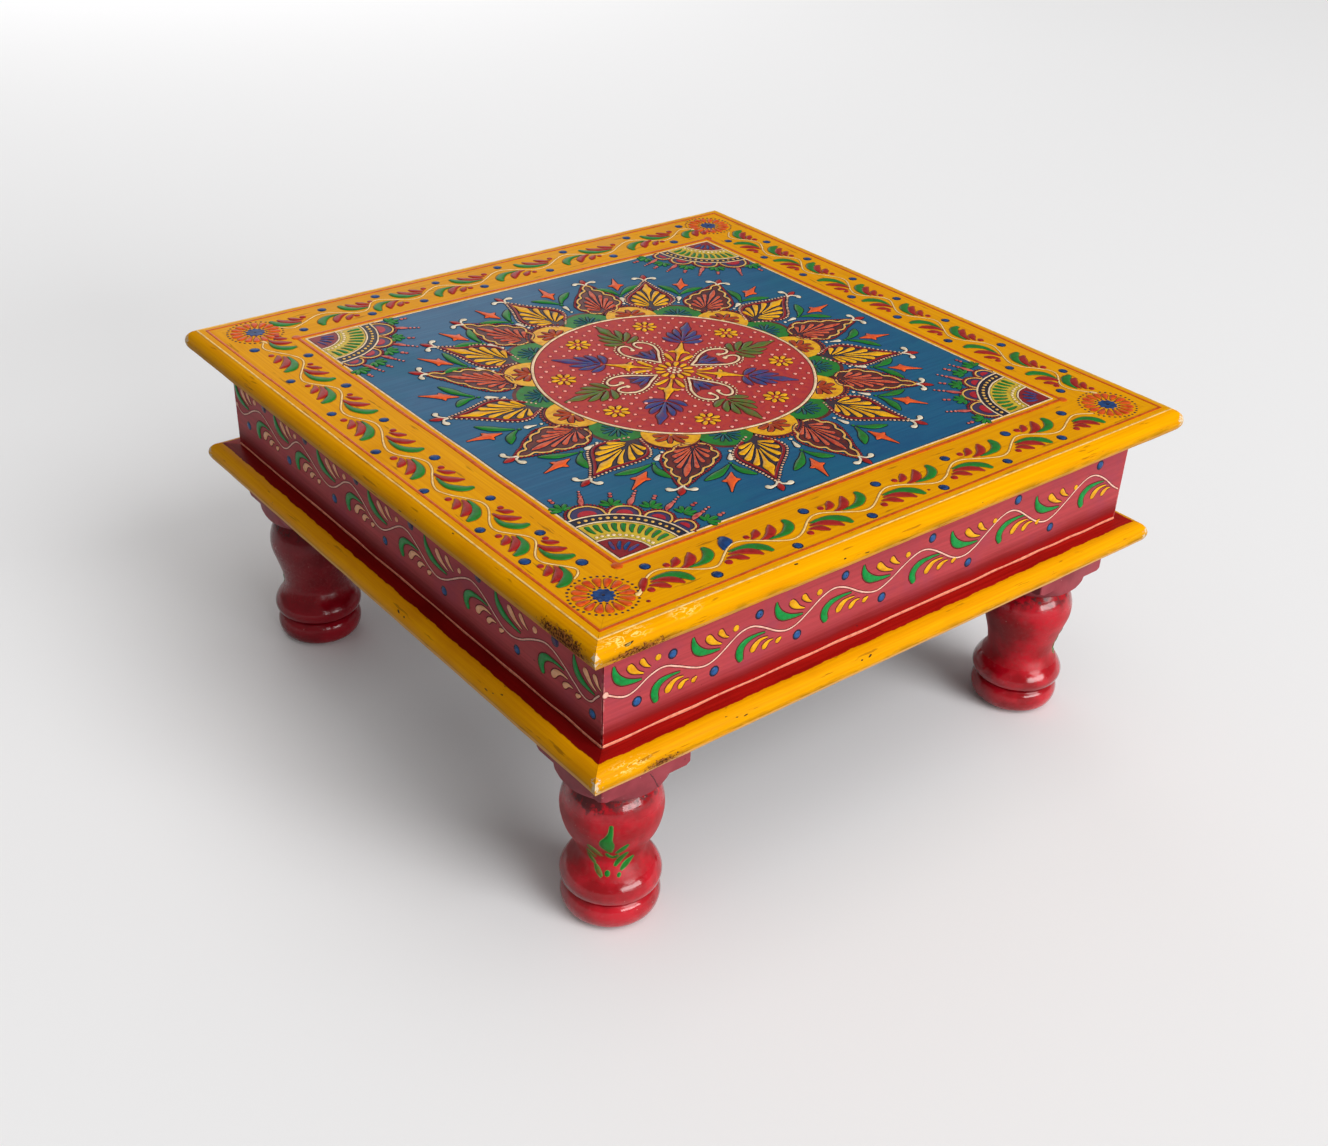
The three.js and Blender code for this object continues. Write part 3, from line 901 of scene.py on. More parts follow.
# %% Leg outline
foot_knots = [(15.0, 0.0), (19.8, 0.9), (22.9, 3.8), (24.2, 8.4), (23.6, 12.4), (21.9, 15.2), (19.2, 16.4)]
slim_body = [
    (19.2, 16.4), (23.0, 17.2), (24.4, 20.0), (24.4, 23.4), (22.7, 27.4), (19.4, 31.6), (16.6, 36.4),
    (17.1, 40.6), (20.0, 46.0), (22.8, 52.0), (24.5, 60.0), (24.0, 67.0), (22.0, 73.5), (18.4, 79.0),
]
full_body = [
    (19.2, 16.4), (23.2, 17.2), (24.8, 20.0), (24.8, 23.2), (23.0, 27.0), (20.3, 30.6), (18.6, 34.6),
    (18.8, 39.4), (19.9, 45.0), (21.9, 52.0), (24.1, 60.0), (24.1, 67.0), (22.1, 73.5), (18.4, 79.0),
]
collar = (27.6, 88.0)
head_slope = 3.0
head_slope_depth = 1.8
tenon_radius = 9.0
curve_steps = 5


def quarter_round(crease_point, wide_point):
    """From a crease out to the widest place."""
    (r0, z0), (r1, z1) = crease_point, wide_point
    turns = [quarter * step / curve_steps for step in range(curve_steps)]
    return [(r0 + (r1 - r0) * math.sin(a), z1 - (z1 - z0) * math.cos(a)) for a in turns]


def leg_outline(body_knots):
    head_corner = leg_half / mm * math.sqrt(2)
    return [
        *smooth_line(foot_knots, curve_steps)[:-1],
        *smooth_line(body_knots, curve_steps)[:-1],
        *quarter_round(body_knots[-1], collar),
        collar,
        (head_corner - head_slope_depth, collar[1] + 0.01),
        (head_corner - head_slope_depth * 0.35, collar[1] + head_slope * 0.4),
        (head_corner + 1, collar[1] + head_slope),
        (head_corner + 1, leg_top / mm),
        (tenon_radius, leg_top / mm + 0.01),
        (tenon_radius, tenon_top / mm),
    ]


leg_outlines = [leg_outline(slim_body), *[leg_outline(full_body)] * 3]
print("leg outline:", len(leg_outlines[0]), "points")

# %% Turn the legs
leg_facets = 80
stock_edge = 0.9 * mm


def turned_leg(leg_radii):
    """A leg on the Z axis, from the floor up to the tenon's end."""
    bpy.ops.object.select_all(action="DESELECT")
    start = leg_radii[0]
    bpy.ops.mesh.primitive_circle_add(vertices=leg_facets, radius=start[0] * mm, fill_type="NGON")
    leg = bpy.context.object
    leg.name = "leg_model"
    mode("EDIT")
    bpy.ops.mesh.select_mode(type="FACE")
    select_all()
    for (r0, z0), (r1, z1) in zip(leg_radii, leg_radii[1:]):
        bpy.ops.mesh.extrude_region_move(TRANSFORM_OT_translate={"value": (0, 0, (z1 - z0) * mm)})
        bpy.ops.transform.resize(value=(r1 / r0, r1 / r0, 1))
    select_all()
    bpy.ops.mesh.remove_doubles(threshold=0.001 * mm)
    bpy.ops.mesh.normals_make_consistent(inside=False)
    mode("OBJECT")
    return leg


def square_stock():
    bpy.ops.object.select_all(action="DESELECT")
    bpy.ops.mesh.primitive_cube_add(size=2 * leg_half, location=(0, 0, tenon_top / 2))
    stock = bpy.context.object
    stock.scale.z = (tenon_top + 4 * mm) / (2 * leg_half)
    bpy.ops.object.transform_apply(location=True, scale=True)
    mode("EDIT")
    pick("EDGE", lambda edge: abs(run(edge).z) > 0.9)
    bpy.ops.mesh.bevel(offset=stock_edge, segments=3, profile=0.5, affect="EDGES")
    mode("OBJECT")
    return stock


stock = square_stock()
leg_models = []
for outline in leg_outlines[:2]:
    leg_model = turned_leg(outline)
    apply_modifier(leg_model, "BOOLEAN", object=stock, operation="INTERSECT", solver="EXACT")
    leg_model.data.transform(Matrix.Translation((-leg_centre, -leg_centre, 0)))
    leg_models.append(leg_model)
for turn, corner in enumerate(corners):
    leg = turned_copy(leg_models[min(turn, 1)], "turned_leg_" + corner, turn)
    smooth(leg, 40)
    settle(leg, "leg_paint", red_gloss, "leg_" + corner)
print("leg:", len(leg.data.polygons), "faces")
for model in (stock, *leg_models):
    remove(model)

# %% [markdown]
# The hidden boards keep the shapes of the frame and get the raw wood's finish, and the aprons and the panel
# keep theirs under paint. A node of the frame is never changed: only its material slot is filled.

# %% Paint the frame's own pieces


def paint_node(name, material):
    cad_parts[name].material_slots[0].material = material


paint_node("top_panel", blue_paint)
for side in sides:
    paint_node("apron_" + side, rose_paint)
    paint_node("top_cleat_" + side, wood_along_x if side in ("front", "back") else wood_along_y)
for corner in corners:
    paint_node("corner_block_" + corner, wood_along_x)
for side in ("left", "right"):
    paint_node("panel_batten_" + side, wood_along_y)
screw_names = [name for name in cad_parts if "_screw_" in name]
for name in screw_names:
    paint_node(name, steel)
print("screws:", len(screw_names))

# %% [markdown]
# Now the ornament. The painter squeezes thick paint from a cone, so each line has a rounded back and a flat
# foot, and swells where the hand slows. In Blender that is a curve with a bevel object, a small half-round
# profile, and a radius for each point. Dots are one small dome, modelled once and stamped wherever one
# falls. Flat fields of colour, such as the red disc, are filled curves a fraction of a millimetre thick.
#
# Each line has a thin dark rim, a painted shadow round the raised paint. So most strokes and dots also get
# a flat copy in a dark shade of the ground, and the halo is how far that copy reaches beyond the line on
# each side.

# %% The cone's nozzle and the dot
bead_steps = 5
bead_rise = 0.5
bead_root = -0.06
dome_rise = 0.55
steps_between_knots = 3
tallest = 0.55 * mm
wash_height = 0.07 * mm
usual_halo = 0.5


def half_round():
    """A bead's section of radius one: round on top, with its foot a little below the sheet."""
    turns = [math.pi * k / bead_steps for k in range(bead_steps + 1)]
    return [(1.0, bead_root), *((math.cos(a), bead_rise * math.sin(a)) for a in turns), (-1.0, bead_root)]


def flat_band():
    """The section of a wash of thin paint."""
    return [(1.0, bead_root), (1.0, bead_rise), (-1.0, bead_rise), (-1.0, bead_root)]


def nozzle_profile(outline):
    """A section one millimetre in radius as an object, for the strokes' bevel."""
    outline = outline[::-1]
    curve = bpy.data.curves.new("nozzle", "CURVE")
    curve.dimensions = "2D"
    spline = curve.splines.new("POLY")
    spline.points.add(len(outline) - 1)
    for point, (x, y) in zip(spline.points, outline):
        point.co = (x * mm, y * mm, 0, 1)
    spline.use_cyclic_u = True
    profile = bpy.data.objects.new("nozzle", curve)
    link(profile)
    return profile


def dot_dome(around, rings):
    """A dome of radius one, flat underneath, as corner places and faces."""
    bpy.ops.object.select_all(action="DESELECT")
    bpy.ops.mesh.primitive_uv_sphere_add(segments=around, ring_count=rings, radius=1)
    dome = bpy.context.object
    mode("EDIT")
    select_all()
    bpy.ops.mesh.bisect(plane_co=(0, 0, bead_root), plane_no=(0, 0, -1), use_fill=True, clear_outer=True)
    select_all()
    bpy.ops.transform.resize(value=(1, 1, dome_rise), center_override=(0, 0, 0))
    bpy.ops.mesh.normals_make_consistent(inside=False)
    mode("OBJECT")
    corners_of_dome = np.array([v.co for v in dome.data.vertices])
    faces_of_dome = [tuple(face.vertices) for face in dome.data.polygons]
    remove(dome)
    return corners_of_dome, faces_of_dome


nozzle = nozzle_profile(half_round())
flat_brush = nozzle_profile(flat_band())
dome = dot_dome(9, 6)
blot = dot_dome(10, 4)
print("dot:", len(dome[1]), "faces, blot:", len(blot[1]), "faces")

# %% [markdown]
# The ornament is drawn in millimetres on a flat sheet. A spot is a small sheet within the sheet, with its own
# middle and direction, so that a flower or a petal is drawn once, pointing right, and then painted wherever
# the pattern wants it.

# %% Spots


def spot(x=0.0, y=0.0, degrees=0.0):
    """A small sheet in the large one: a function from its along and across to the large one's x and y."""
    c = math.cos(math.radians(degrees))
    s = math.sin(math.radians(degrees))

    def at(along, across):
        return x + (along * c - across * s), y + (along * s + across * c)

    return at


print("a spot's place 1 mm along, turned by 90:", [round(v, 3) for v in spot(2, 3, 90)(1, 0)])

# %% [markdown]
# A brush gathers strokes, dots and fields by colour. Only when it dries does it make meshes, and lays them on
# the table through a function that bends the sheet onto a face.

# %% The brush


class Brush:
    """Collects ornament by colour, and dries it into one mesh for each colour."""

    def __init__(self, name, slot, shade=None):
        self.name = name
        self.slot = slot
        self.shade = shade
        self.halo = usual_halo
        self.marks = {}
        self.dried = {}

    def kind(self, colour, kind):
        return self.marks.setdefault(colour, {}).setdefault(kind, [])

    def stroke(self, colour, at, knots, closed=False, shake=0.12, halo=None):
        """A raised line through knots of (along, across, half width), with a wash of shade around it."""
        made = []
        for along, across, half in knots:
            x, y = at(along + hand.uniform(-shake, shake), across + hand.uniform(-shake, shake))
            made.append((x, y, half * hand.uniform(0.94, 1.06)))
        if not closed:
            made = [*round_end(made[1], made[0])[::-1], *made, *round_end(made[-2], made[-1])]
        self.kind(colour, "strokes").append((made, closed))
        if self.shade:
            halo = self.halo if halo is None else halo
            wider = [(x, y, half + halo) for x, y, half in made]
            self.kind(self.shade, "shades").append((wider, closed))

    def dot(self, colour, at, along, across, radius, shake=0.1, lift=0.0, edge=None, halo=None):
        x, y = at(along + hand.uniform(-shake, shake), across + hand.uniform(-shake, shake))
        radius = radius * hand.uniform(0.9, 1.1)
        self.kind(colour, "dots").append((x, y, radius, lift))
        edge = edge or self.shade
        if edge and not lift:
            halo = self.halo if halo is None else halo
            self.kind(edge, "shade_dots").append((x, y, radius + halo, 0.0))

    def field(self, colour, at, outline, height):
        """A flat painted field inside an outline, so many millimetres thick."""
        self.kind(colour, "fields").append(([at(*point) for point in outline], height))

    def dry(self, lay):
        """Makes a mesh of each colour's marks and lays it on a face."""
        for colour, marks in self.marks.items():
            made = []
            if marks.get("strokes"):
                made.append(stroke_mesh(marks["strokes"], nozzle))
            if marks.get("dots"):
                made.append(dot_mesh(marks["dots"], dome))
            if marks.get("shades"):
                made.append(flattened(stroke_mesh(marks["shades"], flat_brush)))
            if marks.get("shade_dots"):
                made.append(flattened(dot_mesh(marks["shade_dots"], blot)))
            made += [field_mesh(outline, height) for outline, height in marks.get("fields", [])]
            for piece in made:
                bend(piece.data, lay)
            self.dried.setdefault(colour, []).extend(made)
        self.marks = {}

    def finish(self):
        """Joins what dried in each colour and hands it over as a finished piece."""
        for colour, pieces in self.dried.items():
            bpy.ops.object.select_all(action="DESELECT")
            for piece in pieces:
                piece.select_set(True)
            bpy.context.view_layer.objects.active = pieces[0]
            if len(pieces) > 1:
                bpy.ops.object.join()
            piece = bpy.context.view_layer.objects.active
            piece.name = f"{self.name}_{colour}"
            piece.data.name = piece.name
            smooth(piece, 50)
            settle(piece, self.slot, cone_paints[colour])
            print(piece.name, len(piece.data.polygons), "faces")


print("a brush can:", [name for name in vars(Brush) if not name.startswith("_")])

# %% [markdown]
# A stroke becomes a mesh through a curve with the nozzle's section, a field through a filled curve, and the
# dots through copies of the dome. A shade is made the same way and then flattened to a wash.

# %% From marks to meshes


def round_end(before, end):
    """Two more knots that round off a stroke's blunt end."""
    (x0, y0, _), (x1, y1, half) = before, end
    length = math.hypot(x1 - x0, y1 - y0) or 1.0
    step = half / length
    return [(x1 + (x1 - x0) * step * reach, y1 + (y1 - y0) * step * reach, half * share)
            for reach, share in ((0.6, 0.78), (0.95, 0.3))]


def flattened(piece):
    """Shade is a thin wash of one height, and hardly stands up."""
    for vertex in piece.data.vertices:
        vertex.co.z = wash_height if vertex.co.z > 0 else -wash_height
    return piece


def stroke_mesh(strokes, section):
    curve = bpy.data.curves.new("strokes", "CURVE")
    curve.dimensions = "2D"
    curve.fill_mode = "NONE"
    curve.bevel_mode = "OBJECT"
    curve.bevel_object = section
    curve.use_fill_caps = True
    curve.resolution_u = steps_between_knots
    for knots, closed in strokes:
        spline = curve.splines.new("BEZIER")
        spline.bezier_points.add(len(knots) - 1)
        for point, (x, y, half) in zip(spline.bezier_points, knots):
            point.co = (x * mm, y * mm, 0)
            point.radius = half
            point.handle_left_type = "AUTO"
            point.handle_right_type = "AUTO"
        spline.use_cyclic_u = closed
        spline.radius_interpolation = "CARDINAL"
    return curve_to_mesh(curve)


def field_mesh(outline, height):
    curve = bpy.data.curves.new("field", "CURVE")
    curve.dimensions = "2D"
    curve.fill_mode = "BOTH"
    curve.extrude = height * mm
    spline = curve.splines.new("POLY")
    spline.points.add(len(outline) - 1)
    for point, (x, y) in zip(spline.points, outline):
        point.co = (x * mm, y * mm, 0, 1)
    spline.use_cyclic_u = True
    return curve_to_mesh(curve)


def curve_to_mesh(curve):
    drawn = bpy.data.objects.new(curve.name, curve)
    link(drawn)
    take(drawn)
    bpy.ops.object.convert(target="MESH")
    piece = bpy.context.object
    mode("EDIT")
    select_all()
    bpy.ops.mesh.remove_doubles(threshold=0.0005 * mm)
    mode("OBJECT")
    return piece


def dot_mesh(dots, model):
    dome_corners, dome_faces = model
    places = np.array([(x, y, lift) for x, y, _, lift in dots]) * mm
    sizes = np.array([radius for _, _, radius, _ in dots]) * mm
    corners_made = (dome_corners[None] * sizes[:, None, None] + places[:, None]).reshape(-1, 3)
    count = len(dome_corners)
    faces_made = [tuple(k + i * count for k in face) for i in range(len(dots)) for face in dome_faces]
    mesh = bpy.data.meshes.new("dots")
    mesh.from_pydata(corners_made.tolist(), [], faces_made)
    piece = bpy.data.objects.new("dots", mesh)
    link(piece)
    return piece


print("steps of a stroke from knot to knot:", steps_between_knots)

# %% [markdown]
# The meshes lie on the flat sheet until they are bent onto a face. On the way very wide strokes are
# pressed down, because thick paint sags before it dries.

# %% Laying the sheet on a face


def bend(mesh, lay):
    """Moves a mesh's vertices from the flat sheet onto a face. No stroke is taller than paint stands."""
    flat = np.zeros(len(mesh.vertices) * 3)
    mesh.vertices.foreach_get("co", flat)
    flat = flat.reshape(-1, 3)
    raised = flat[:, 2] > 0
    flat[raised, 2] = tallest * (1 - np.exp(-flat[raised, 2] / tallest))
    mesh.vertices.foreach_set("co", lay(flat).ravel())
    mesh.update()


def on_top(level):
    """The sheet is the table's plan, laid at a level."""
    return lambda flat: flat + np.array([0, 0, level])


print("paint stands no higher than", round(tallest / mm, 2), "mm")

# %% [markdown]
# Beads, scallops and ticks have to be spaced evenly along a line, so a helper walks a smooth line in equal
# steps and tells which way it faces.

# %% Walking along a line


def walk(knots, step):
    """Equal steps along a smooth line through knots, as (x, y, degrees)."""
    trail = np.array(smooth_line(knots, 12))
    lengths = np.concatenate([[0.0], np.cumsum(np.hypot(*np.diff(trail, axis=0).T))])
    count = max(2, round(lengths[-1] / step))
    stops = np.linspace(0, lengths[-1], count + 1)
    xs, ys = (np.interp(stops, lengths, trail[:, axis]) for axis in (0, 1))
    turns = np.degrees(np.arctan2(np.gradient(ys), np.gradient(xs)))
    return list(zip(xs.tolist(), ys.tolist(), turns.tolist()))


def beads(brush, colour, at, knots, spacing, radius):
    """Dots in a row along a line."""
    for x, y, _ in walk(knots, spacing):
        brush.dot(colour, at, x, y, radius)


def offset(knots, distance):
    """The line moved sideways, to its left."""
    moved = []
    for x, y, facing in walk(knots, 2.0):
        side = math.radians(facing + 90)
        moved.append((x + distance * math.cos(side), y + distance * math.sin(side)))
    return moved


print("a straight walk of 10 mm has", len(walk([(0, 0), (10, 0)], 1.0)), "stops")

# %% [markdown]
# Round the top run four vines, one to a rail. Each is a pale line that waves between a rosette and the next,
# with a cup of leaves in every hollow: a green comma, two red ones and a red dot, and a blue dot beyond
# each bend. The painter spaced them by eye, so the bends are listed as they fall, as the distance along
# the rail and the distance out from the table's middle.

# %% The rails' vines
rail_bends = {
    "front": [
        (-152, 168), (-134, 157.3), (-112.5, 169.5), (-92, 158.9), (-68, 171.4), (-46, 160.8), (-23, 171),
        (0, 161), (24, 171.3), (46, 161.5), (70, 170.5), (92, 160.3), (112, 169), (134, 160.9), (145, 165.5),
    ],
    "right": [
        (-150, 166), (-135, 158), (-119, 169), (-100, 158), (-76, 168), (-55.5, 157.5), (-34, 168),
        (-14.5, 158.5), (6, 168.5), (23, 158), (44, 169), (66, 158.5), (85, 169), (102, 158.5), (122, 168),
        (137, 158.5), (146, 164),
    ],
    "back": [
        (-148, 163), (-141, 167.5), (-120, 157), (-99.5, 169), (-73, 157.5), (-50.5, 170), (-25.5, 159),
        (-1.5, 169.5), (21.5, 158.5), (42.5, 168.5), (62.5, 158.5), (83, 169), (97, 158), (118, 168),
        (139, 158.5), (146, 164),
    ],
    "left": [
        (-150, 162), (-140, 165.8), (-118, 155.8), (-94, 168), (-74, 157.6), (-49, 169), (-28, 161.6),
        (-1, 171.4), (20, 162), (45, 172.7), (68, 162), (89, 171), (106, 161.5), (122, 170), (137, 161),
        (143, 166),
    ],
}
print("bends of the four vines:", [len(bends) for bends in rail_bends.values()])

# %% [markdown]
# The leaves inside a bend depend on which way it opens. They are drawn for a bend of the usual width, and
# stretched along the rail for a wider or narrower one.

# %% Leaves of the rails' vines
usual_spread = 45
narrowest_spread, widest_spread = 36, 48
cup_leaves = [
    ("red", [(-16.5, -13, 1.7)]),
    ("red", [(-9.4, -15.2, 1), (-10.8, -13.4, 1.9), (-12.8, -11.6, 1.4), (-15.4, -10.4, 0.4)]),
    ("red", [(-1.6, -15.4, 0.7), (-2.8, -12.8, 2), (-5.6, -9.6, 2.2), (-9.2, -7.7, 1.4), (-13.4, -7.2, 0.3)]),
    ("green", [(6.6, -14.2, 1.5), (6.2, -11.6, 2.3), (3.6, -8.2, 2.4), (-1.5, -5.8, 1.6), (-9.4, -6, 0.3)]),
]
arch_leaves = [
    ("red", [(-12.8, 11, 1.8)]),
    ("red", [(-4, 13.2, 1), (-5.6, 11, 2), (-8, 9.2, 1.5), (-11.2, 8.2, 0.4)]),
    ("red", [(4, 14.2, 0.7), (2.6, 11.2, 2), (-0.6, 8.4, 2.2), (-4.5, 6.7, 1.4), (-8.8, 6.2, 0.3)]),
    ("green", [(9.2, 13.8, 1.4), (8.3, 11, 2.3), (5.2, 7.4, 2.4), (0.2, 5, 1.6), (-7.4, 4.4, 0.3)]),
]


def leaves(brush, at, motif, stretch, drop=None):
    """Paints a motif's leaves, stretched along the vine. A leaf with a single knot is a dot."""
    for colour, knots in motif:
        colour = drop if colour == "drop" else colour
        stretched = [(along * stretch, across, half) for along, across, half in knots]
        if len(stretched) > 1:
            brush.stroke(colour, at, stretched)
        else:
            brush.dot(colour, at, *stretched[0])


print("leaves fit bends from", narrowest_spread, "to", widest_spread, "mm")

# %% [markdown]
# Each rail gets its vine. The front rail also shows where the painter's hand slipped: a blue stroke, a red
# one and two small crimson drops.

# %% Paint the rails' vines


def rail_sheet(turn):
    """A rail's own sheet: along it from left to right, and out from the table's middle."""
    whole = spot(degrees=90 * turn)
    return lambda along, out: whole(along, -out)


def vine(brush, at, bends):
    brush.stroke("vine_gold", at, [(u, v, 0.5) for u, v, _ in walk(bends, 4)], halo=0.22)
    brush.stroke("vine_gold", at, [(*bends[0], 1.2), (bends[0][0] + 2.2, bends[0][1] - 0.6, 0.7)])
    for i in range(1, len(bends) - 1):
        u, v = bends[i]
        spread = bends[i + 1][0] - bends[i - 1][0]
        to_panel = v < bends[i - 1][1]

        def here(along, across, u=u, v=v):
            return at(u + along, v + across)

        spread = max(narrowest_spread, min(widest_spread, spread))
        leaves(brush, here, arch_leaves if to_panel else cup_leaves, spread / usual_spread)
        beyond = -5.2 if to_panel else 5.2
        along = -2.6 + hand.uniform(-0.5, 0.5)
        brush.dot("blue", here, along, beyond, 2.1, edge="ink", halo=1.15)
        brush.dot("ink", here, along, beyond, 0.85, lift=0.5)


rail_ornament = Brush("vine", "yellow_paint", "shade_yellow")
rail_ornament.halo = 0.36
for turn, side in enumerate(sides):
    vine(rail_ornament, rail_sheet(turn), rail_bends[side])
front_sheet = rail_sheet(0)
rail_ornament.stroke("blue", front_sheet, [(-99.6, 160.6, 0.8), (-97.4, 158, 2.6), (-94.6, 155.4, 3.2)])
rail_ornament.stroke("red", front_sheet, [(-148.8, 167, 0.5), (-146, 163.6, 1.6), (-142.6, 160.2, 1.2)])
rail_ornament.dot("crimson", front_sheet, -151.5, 174.4, 0.9)
rail_ornament.dot("crimson", front_sheet, 14, 174, 0.7)
print("colours on the brush:", list(rail_ornament.marks))

# %% [markdown]
# A rosette fills each corner of the frame: a blue eye, a ring of orange petals and a ring of dark dots.

# %% Rosettes
rosette_places = [(-164, -160.4), (160, -162.7), (161, 163.4), (-160, 164)]
ring_of_petals = 16
ring_of_dots = 34


def ring(count, radius, start=0):
    """Places on a circle, as (x, y, degrees)."""
    turns = [start + 360 * k / count for k in range(count)]
    return [(radius * math.cos(math.radians(a)), radius * math.sin(math.radians(a)), a) for a in turns]


def circle(radius, steps=32):
    return [(x, y) for x, y, _ in ring(steps, radius)]


def bow(along_radius, across_radius, half_turn, count):
    """Places on an arc that bulges along the first axis."""
    turns = np.radians(np.linspace(-half_turn, half_turn, count))
    return [(along_radius * math.cos(a), across_radius * math.sin(a)) for a in turns]


def rosette(brush, at):
    brush.field("blue", at, circle(4.4), 0.3)
    for x, y, _ in ring(10, 4.3):
        brush.dot("blue", at, x, y, 1)
    brush.dot("ink", at, 0, 0, 0.8, lift=0.3)
    for x, y, _ in ring(16, 6.2):
        brush.dot("ink", at, x, y, 0.55)
    for k in range(ring_of_petals):
        petal = math.radians(360 * k / ring_of_petals)
        knots = [(r * math.cos(petal), r * math.sin(petal), half)
                 for r, half in ((7.4, 0.7), (9.4, 1.3), (11.8, 1.7))]
        brush.stroke("flame", at, knots)
    for x, y, _ in ring(ring_of_dots, 14.9):
        brush.dot("ink", at, x, y, 0.58)


for x, y in rosette_places:
    rosette(rail_ornament, spot(x, y))
print("rosettes:", len(rosette_places))

# %% [markdown]
# Four lines frame the rails: an orange one and a cream one near the nose, and the same pair round the
# panel, where the cream line covers the joint and the orange one ends in a drop of paint at each corner.

# %% Border lines
line_steps = 12


def square_line(brush, colour, half_side, half_width, wander=0.2):
    """A line drawn round a square, with its corners turned tightly."""
    shares = [-1 + 2 * k / line_steps for k in range(line_steps + 1)]
    for turn in range(4):
        at = spot(degrees=90 * turn)
        outs = [-half_side + hand.uniform(-wander, wander) for _ in shares]
        knots = [(share * half_side, out, half_width) for share, out in zip(shares, outs)]
        knots[0] = (-half_side, -half_side, half_width)
        knots[-1] = (half_side, -half_side, half_width)
        brush.stroke(colour, at, knots, shake=0.02)


rail_ornament.dry(on_top(top_level))
rail_ornament.shade = None
square_line(rail_ornament, "rust", 180.6, 0.86, wander=0.3)
square_line(rail_ornament, "rust", 144.6, 1.1, wander=0.35)
square_line(rail_ornament, "cream", 141.3, 0.6)
# The thin ink line just inside the cream one is painted shadow along the panel's edge.
square_line(rail_ornament, "ink", 140.5, 0.32)
for turn in range(4):
    rail_ornament.dot("rust", spot(degrees=90 * turn), -145.4, -144.9, 2.8)
rail_ornament.dry(on_top(top_level - 0.1 * mm))
square_line(rail_ornament, "edge_gold", 184.7, 0.5, wander=0.12)
rail_ornament.dry(on_top(top_level - 0.25 * mm))
rail_ornament.finish()

# %% [markdown]
# The panel carries one great flower. A red disc lies in the middle, eighteen lobes ring it, yellow and green
# in turn, and a pointed petal grows out of each gap between two lobes.
#
# Each kind of petal, frond and bud is drawn once on a small sheet, pointing along the first axis, with its
# along counted from the middle of the flower. Both halves of a petal have the same strokes, so they are
# listed for one side and mirrored.

# %% Petals
disc_radius = 75
flower_centre = (-0.8, -3)
petal_edge = [
    (84, 3), (89, 8), (94, 12.6), (100, 14.8), (106.5, 13), (113, 9), (120, 5),
    (126, 2.2), (130.5, 0),
]
coral_edge = [
    (85, 3), (90, 8.5), (95, 11.6), (100.5, 12.4), (106, 10.6), (112, 8.2), (118, 4.6),
    (123, 2.4), (127.5, 0),
]
yellow_teardrops = [
    [(90, 1.8, 0.3), (91.4, 5.2, 0.9), (93, 8.6, 1.5)],
    [(91, 1.6, 0.3), (95, 5.2, 1), (98.6, 9.4, 1.7)],
    [(92.6, 1.2, 0.3), (99, 4.4, 1), (104.8, 8.2, 1.8)],
    [(97, 0.9, 0.3), (104.4, 2.8, 0.9), (110.6, 5.2, 1.7)],
]
coral_teardrops = [
    [(90, 1.8, 0.25), (91.8, 4.8, 0.8), (93.8, 7.8, 1.35)],
    [(90.8, 1.4, 0.25), (95, 4.4, 0.8), (98.8, 7.8, 1.35)],
    [(91.8, 1, 0.25), (98.6, 3.6, 0.8), (104, 6.4, 1.35)],
    [(93.4, 0.6, 0.25), (102.6, 2.6, 0.7), (109.6, 4.2, 1.25)],
]


print("teardrops in half a petal:", len(yellow_teardrops), "or", len(coral_teardrops))

# %% [markdown]
# A yellow petal has a row of pale beads along its edge, a crimson rim and four pairs of teardrops. A coral
# one has a scalloped edge of straw yellow, crimson beads outside it and thinner teardrops. Both end in two
# cream curls with a red bud between them.

# %% Paint one petal


def both_sides(brush, colour, at, strokes):
    """Draws strokes and their mirror images."""
    for sign in (1, -1):
        for knots in strokes:
            brush.stroke(colour, at, [(along, sign * across, half) for along, across, half in knots])


def mirrored_edge(edge):
    """A closed outline from one edge: out along it to the tip and back along its mirror image."""
    return [*edge, *((x, -y) for x, y in reversed(edge[:-1]))]


def leaning(centre, base_turn, tip_turn):
    """A petal's sheet, whose base stands at one angle and whose tip leans to another."""
    foot_radius, tip_radius = 84, 130
    lean = tip_radius * math.sin(math.radians(tip_turn - base_turn)) / (tip_radius - foot_radius)
    straight = spot(*centre, base_turn)
    return lambda along, across: straight(along, across + lean * (along - foot_radius))


def tip_curls(brush, at, tip):
    """Two cream curls like a moustache, and a red bud between them."""
    both_sides(brush, "white", at, [[(tip - 0.6, 0.4, 0.6), (tip + 1.8, 1.5, 0.7), (tip + 2.8, 3.4, 0.8),
                                     (tip + 2.9, 5.2, 1.4), (tip + 2.4, 6.2, 1.5)]])
    brush.stroke("red", at, [(tip + 1, 0, 0.4), (tip + 4.2, 0, 1.9), (tip + 8.2, 0, 0.3)])


def yellow_petal(brush, at):
    edge = petal_edge
    for sign in (1, -1):
        side = [(x, sign * y) for x, y in edge]
        beads(brush, "blush", at, side, 2.3, 0.72)
        rim = [(x - 1, sign * (y - 1.9), 0.85) for x, y in edge[1:-2]]
        brush.stroke("crimson", at, [*rim, (edge[-1][0] - 4.5, 0, 0.8)])
    both_sides(brush, "yellow", at, yellow_teardrops)
    brush.stroke("yellow", at, [(98, 0, 0.3), (106, 0, 0.8), (111, 0, 1.6), (115, 0, 2.9),
                                (119, 0, 1.6), (124.5, 0, 0.3)])
    brush.dot("rust", at, 115, 0, 0.8, lift=0.45)
    tip_curls(brush, at, edge[-1][0])


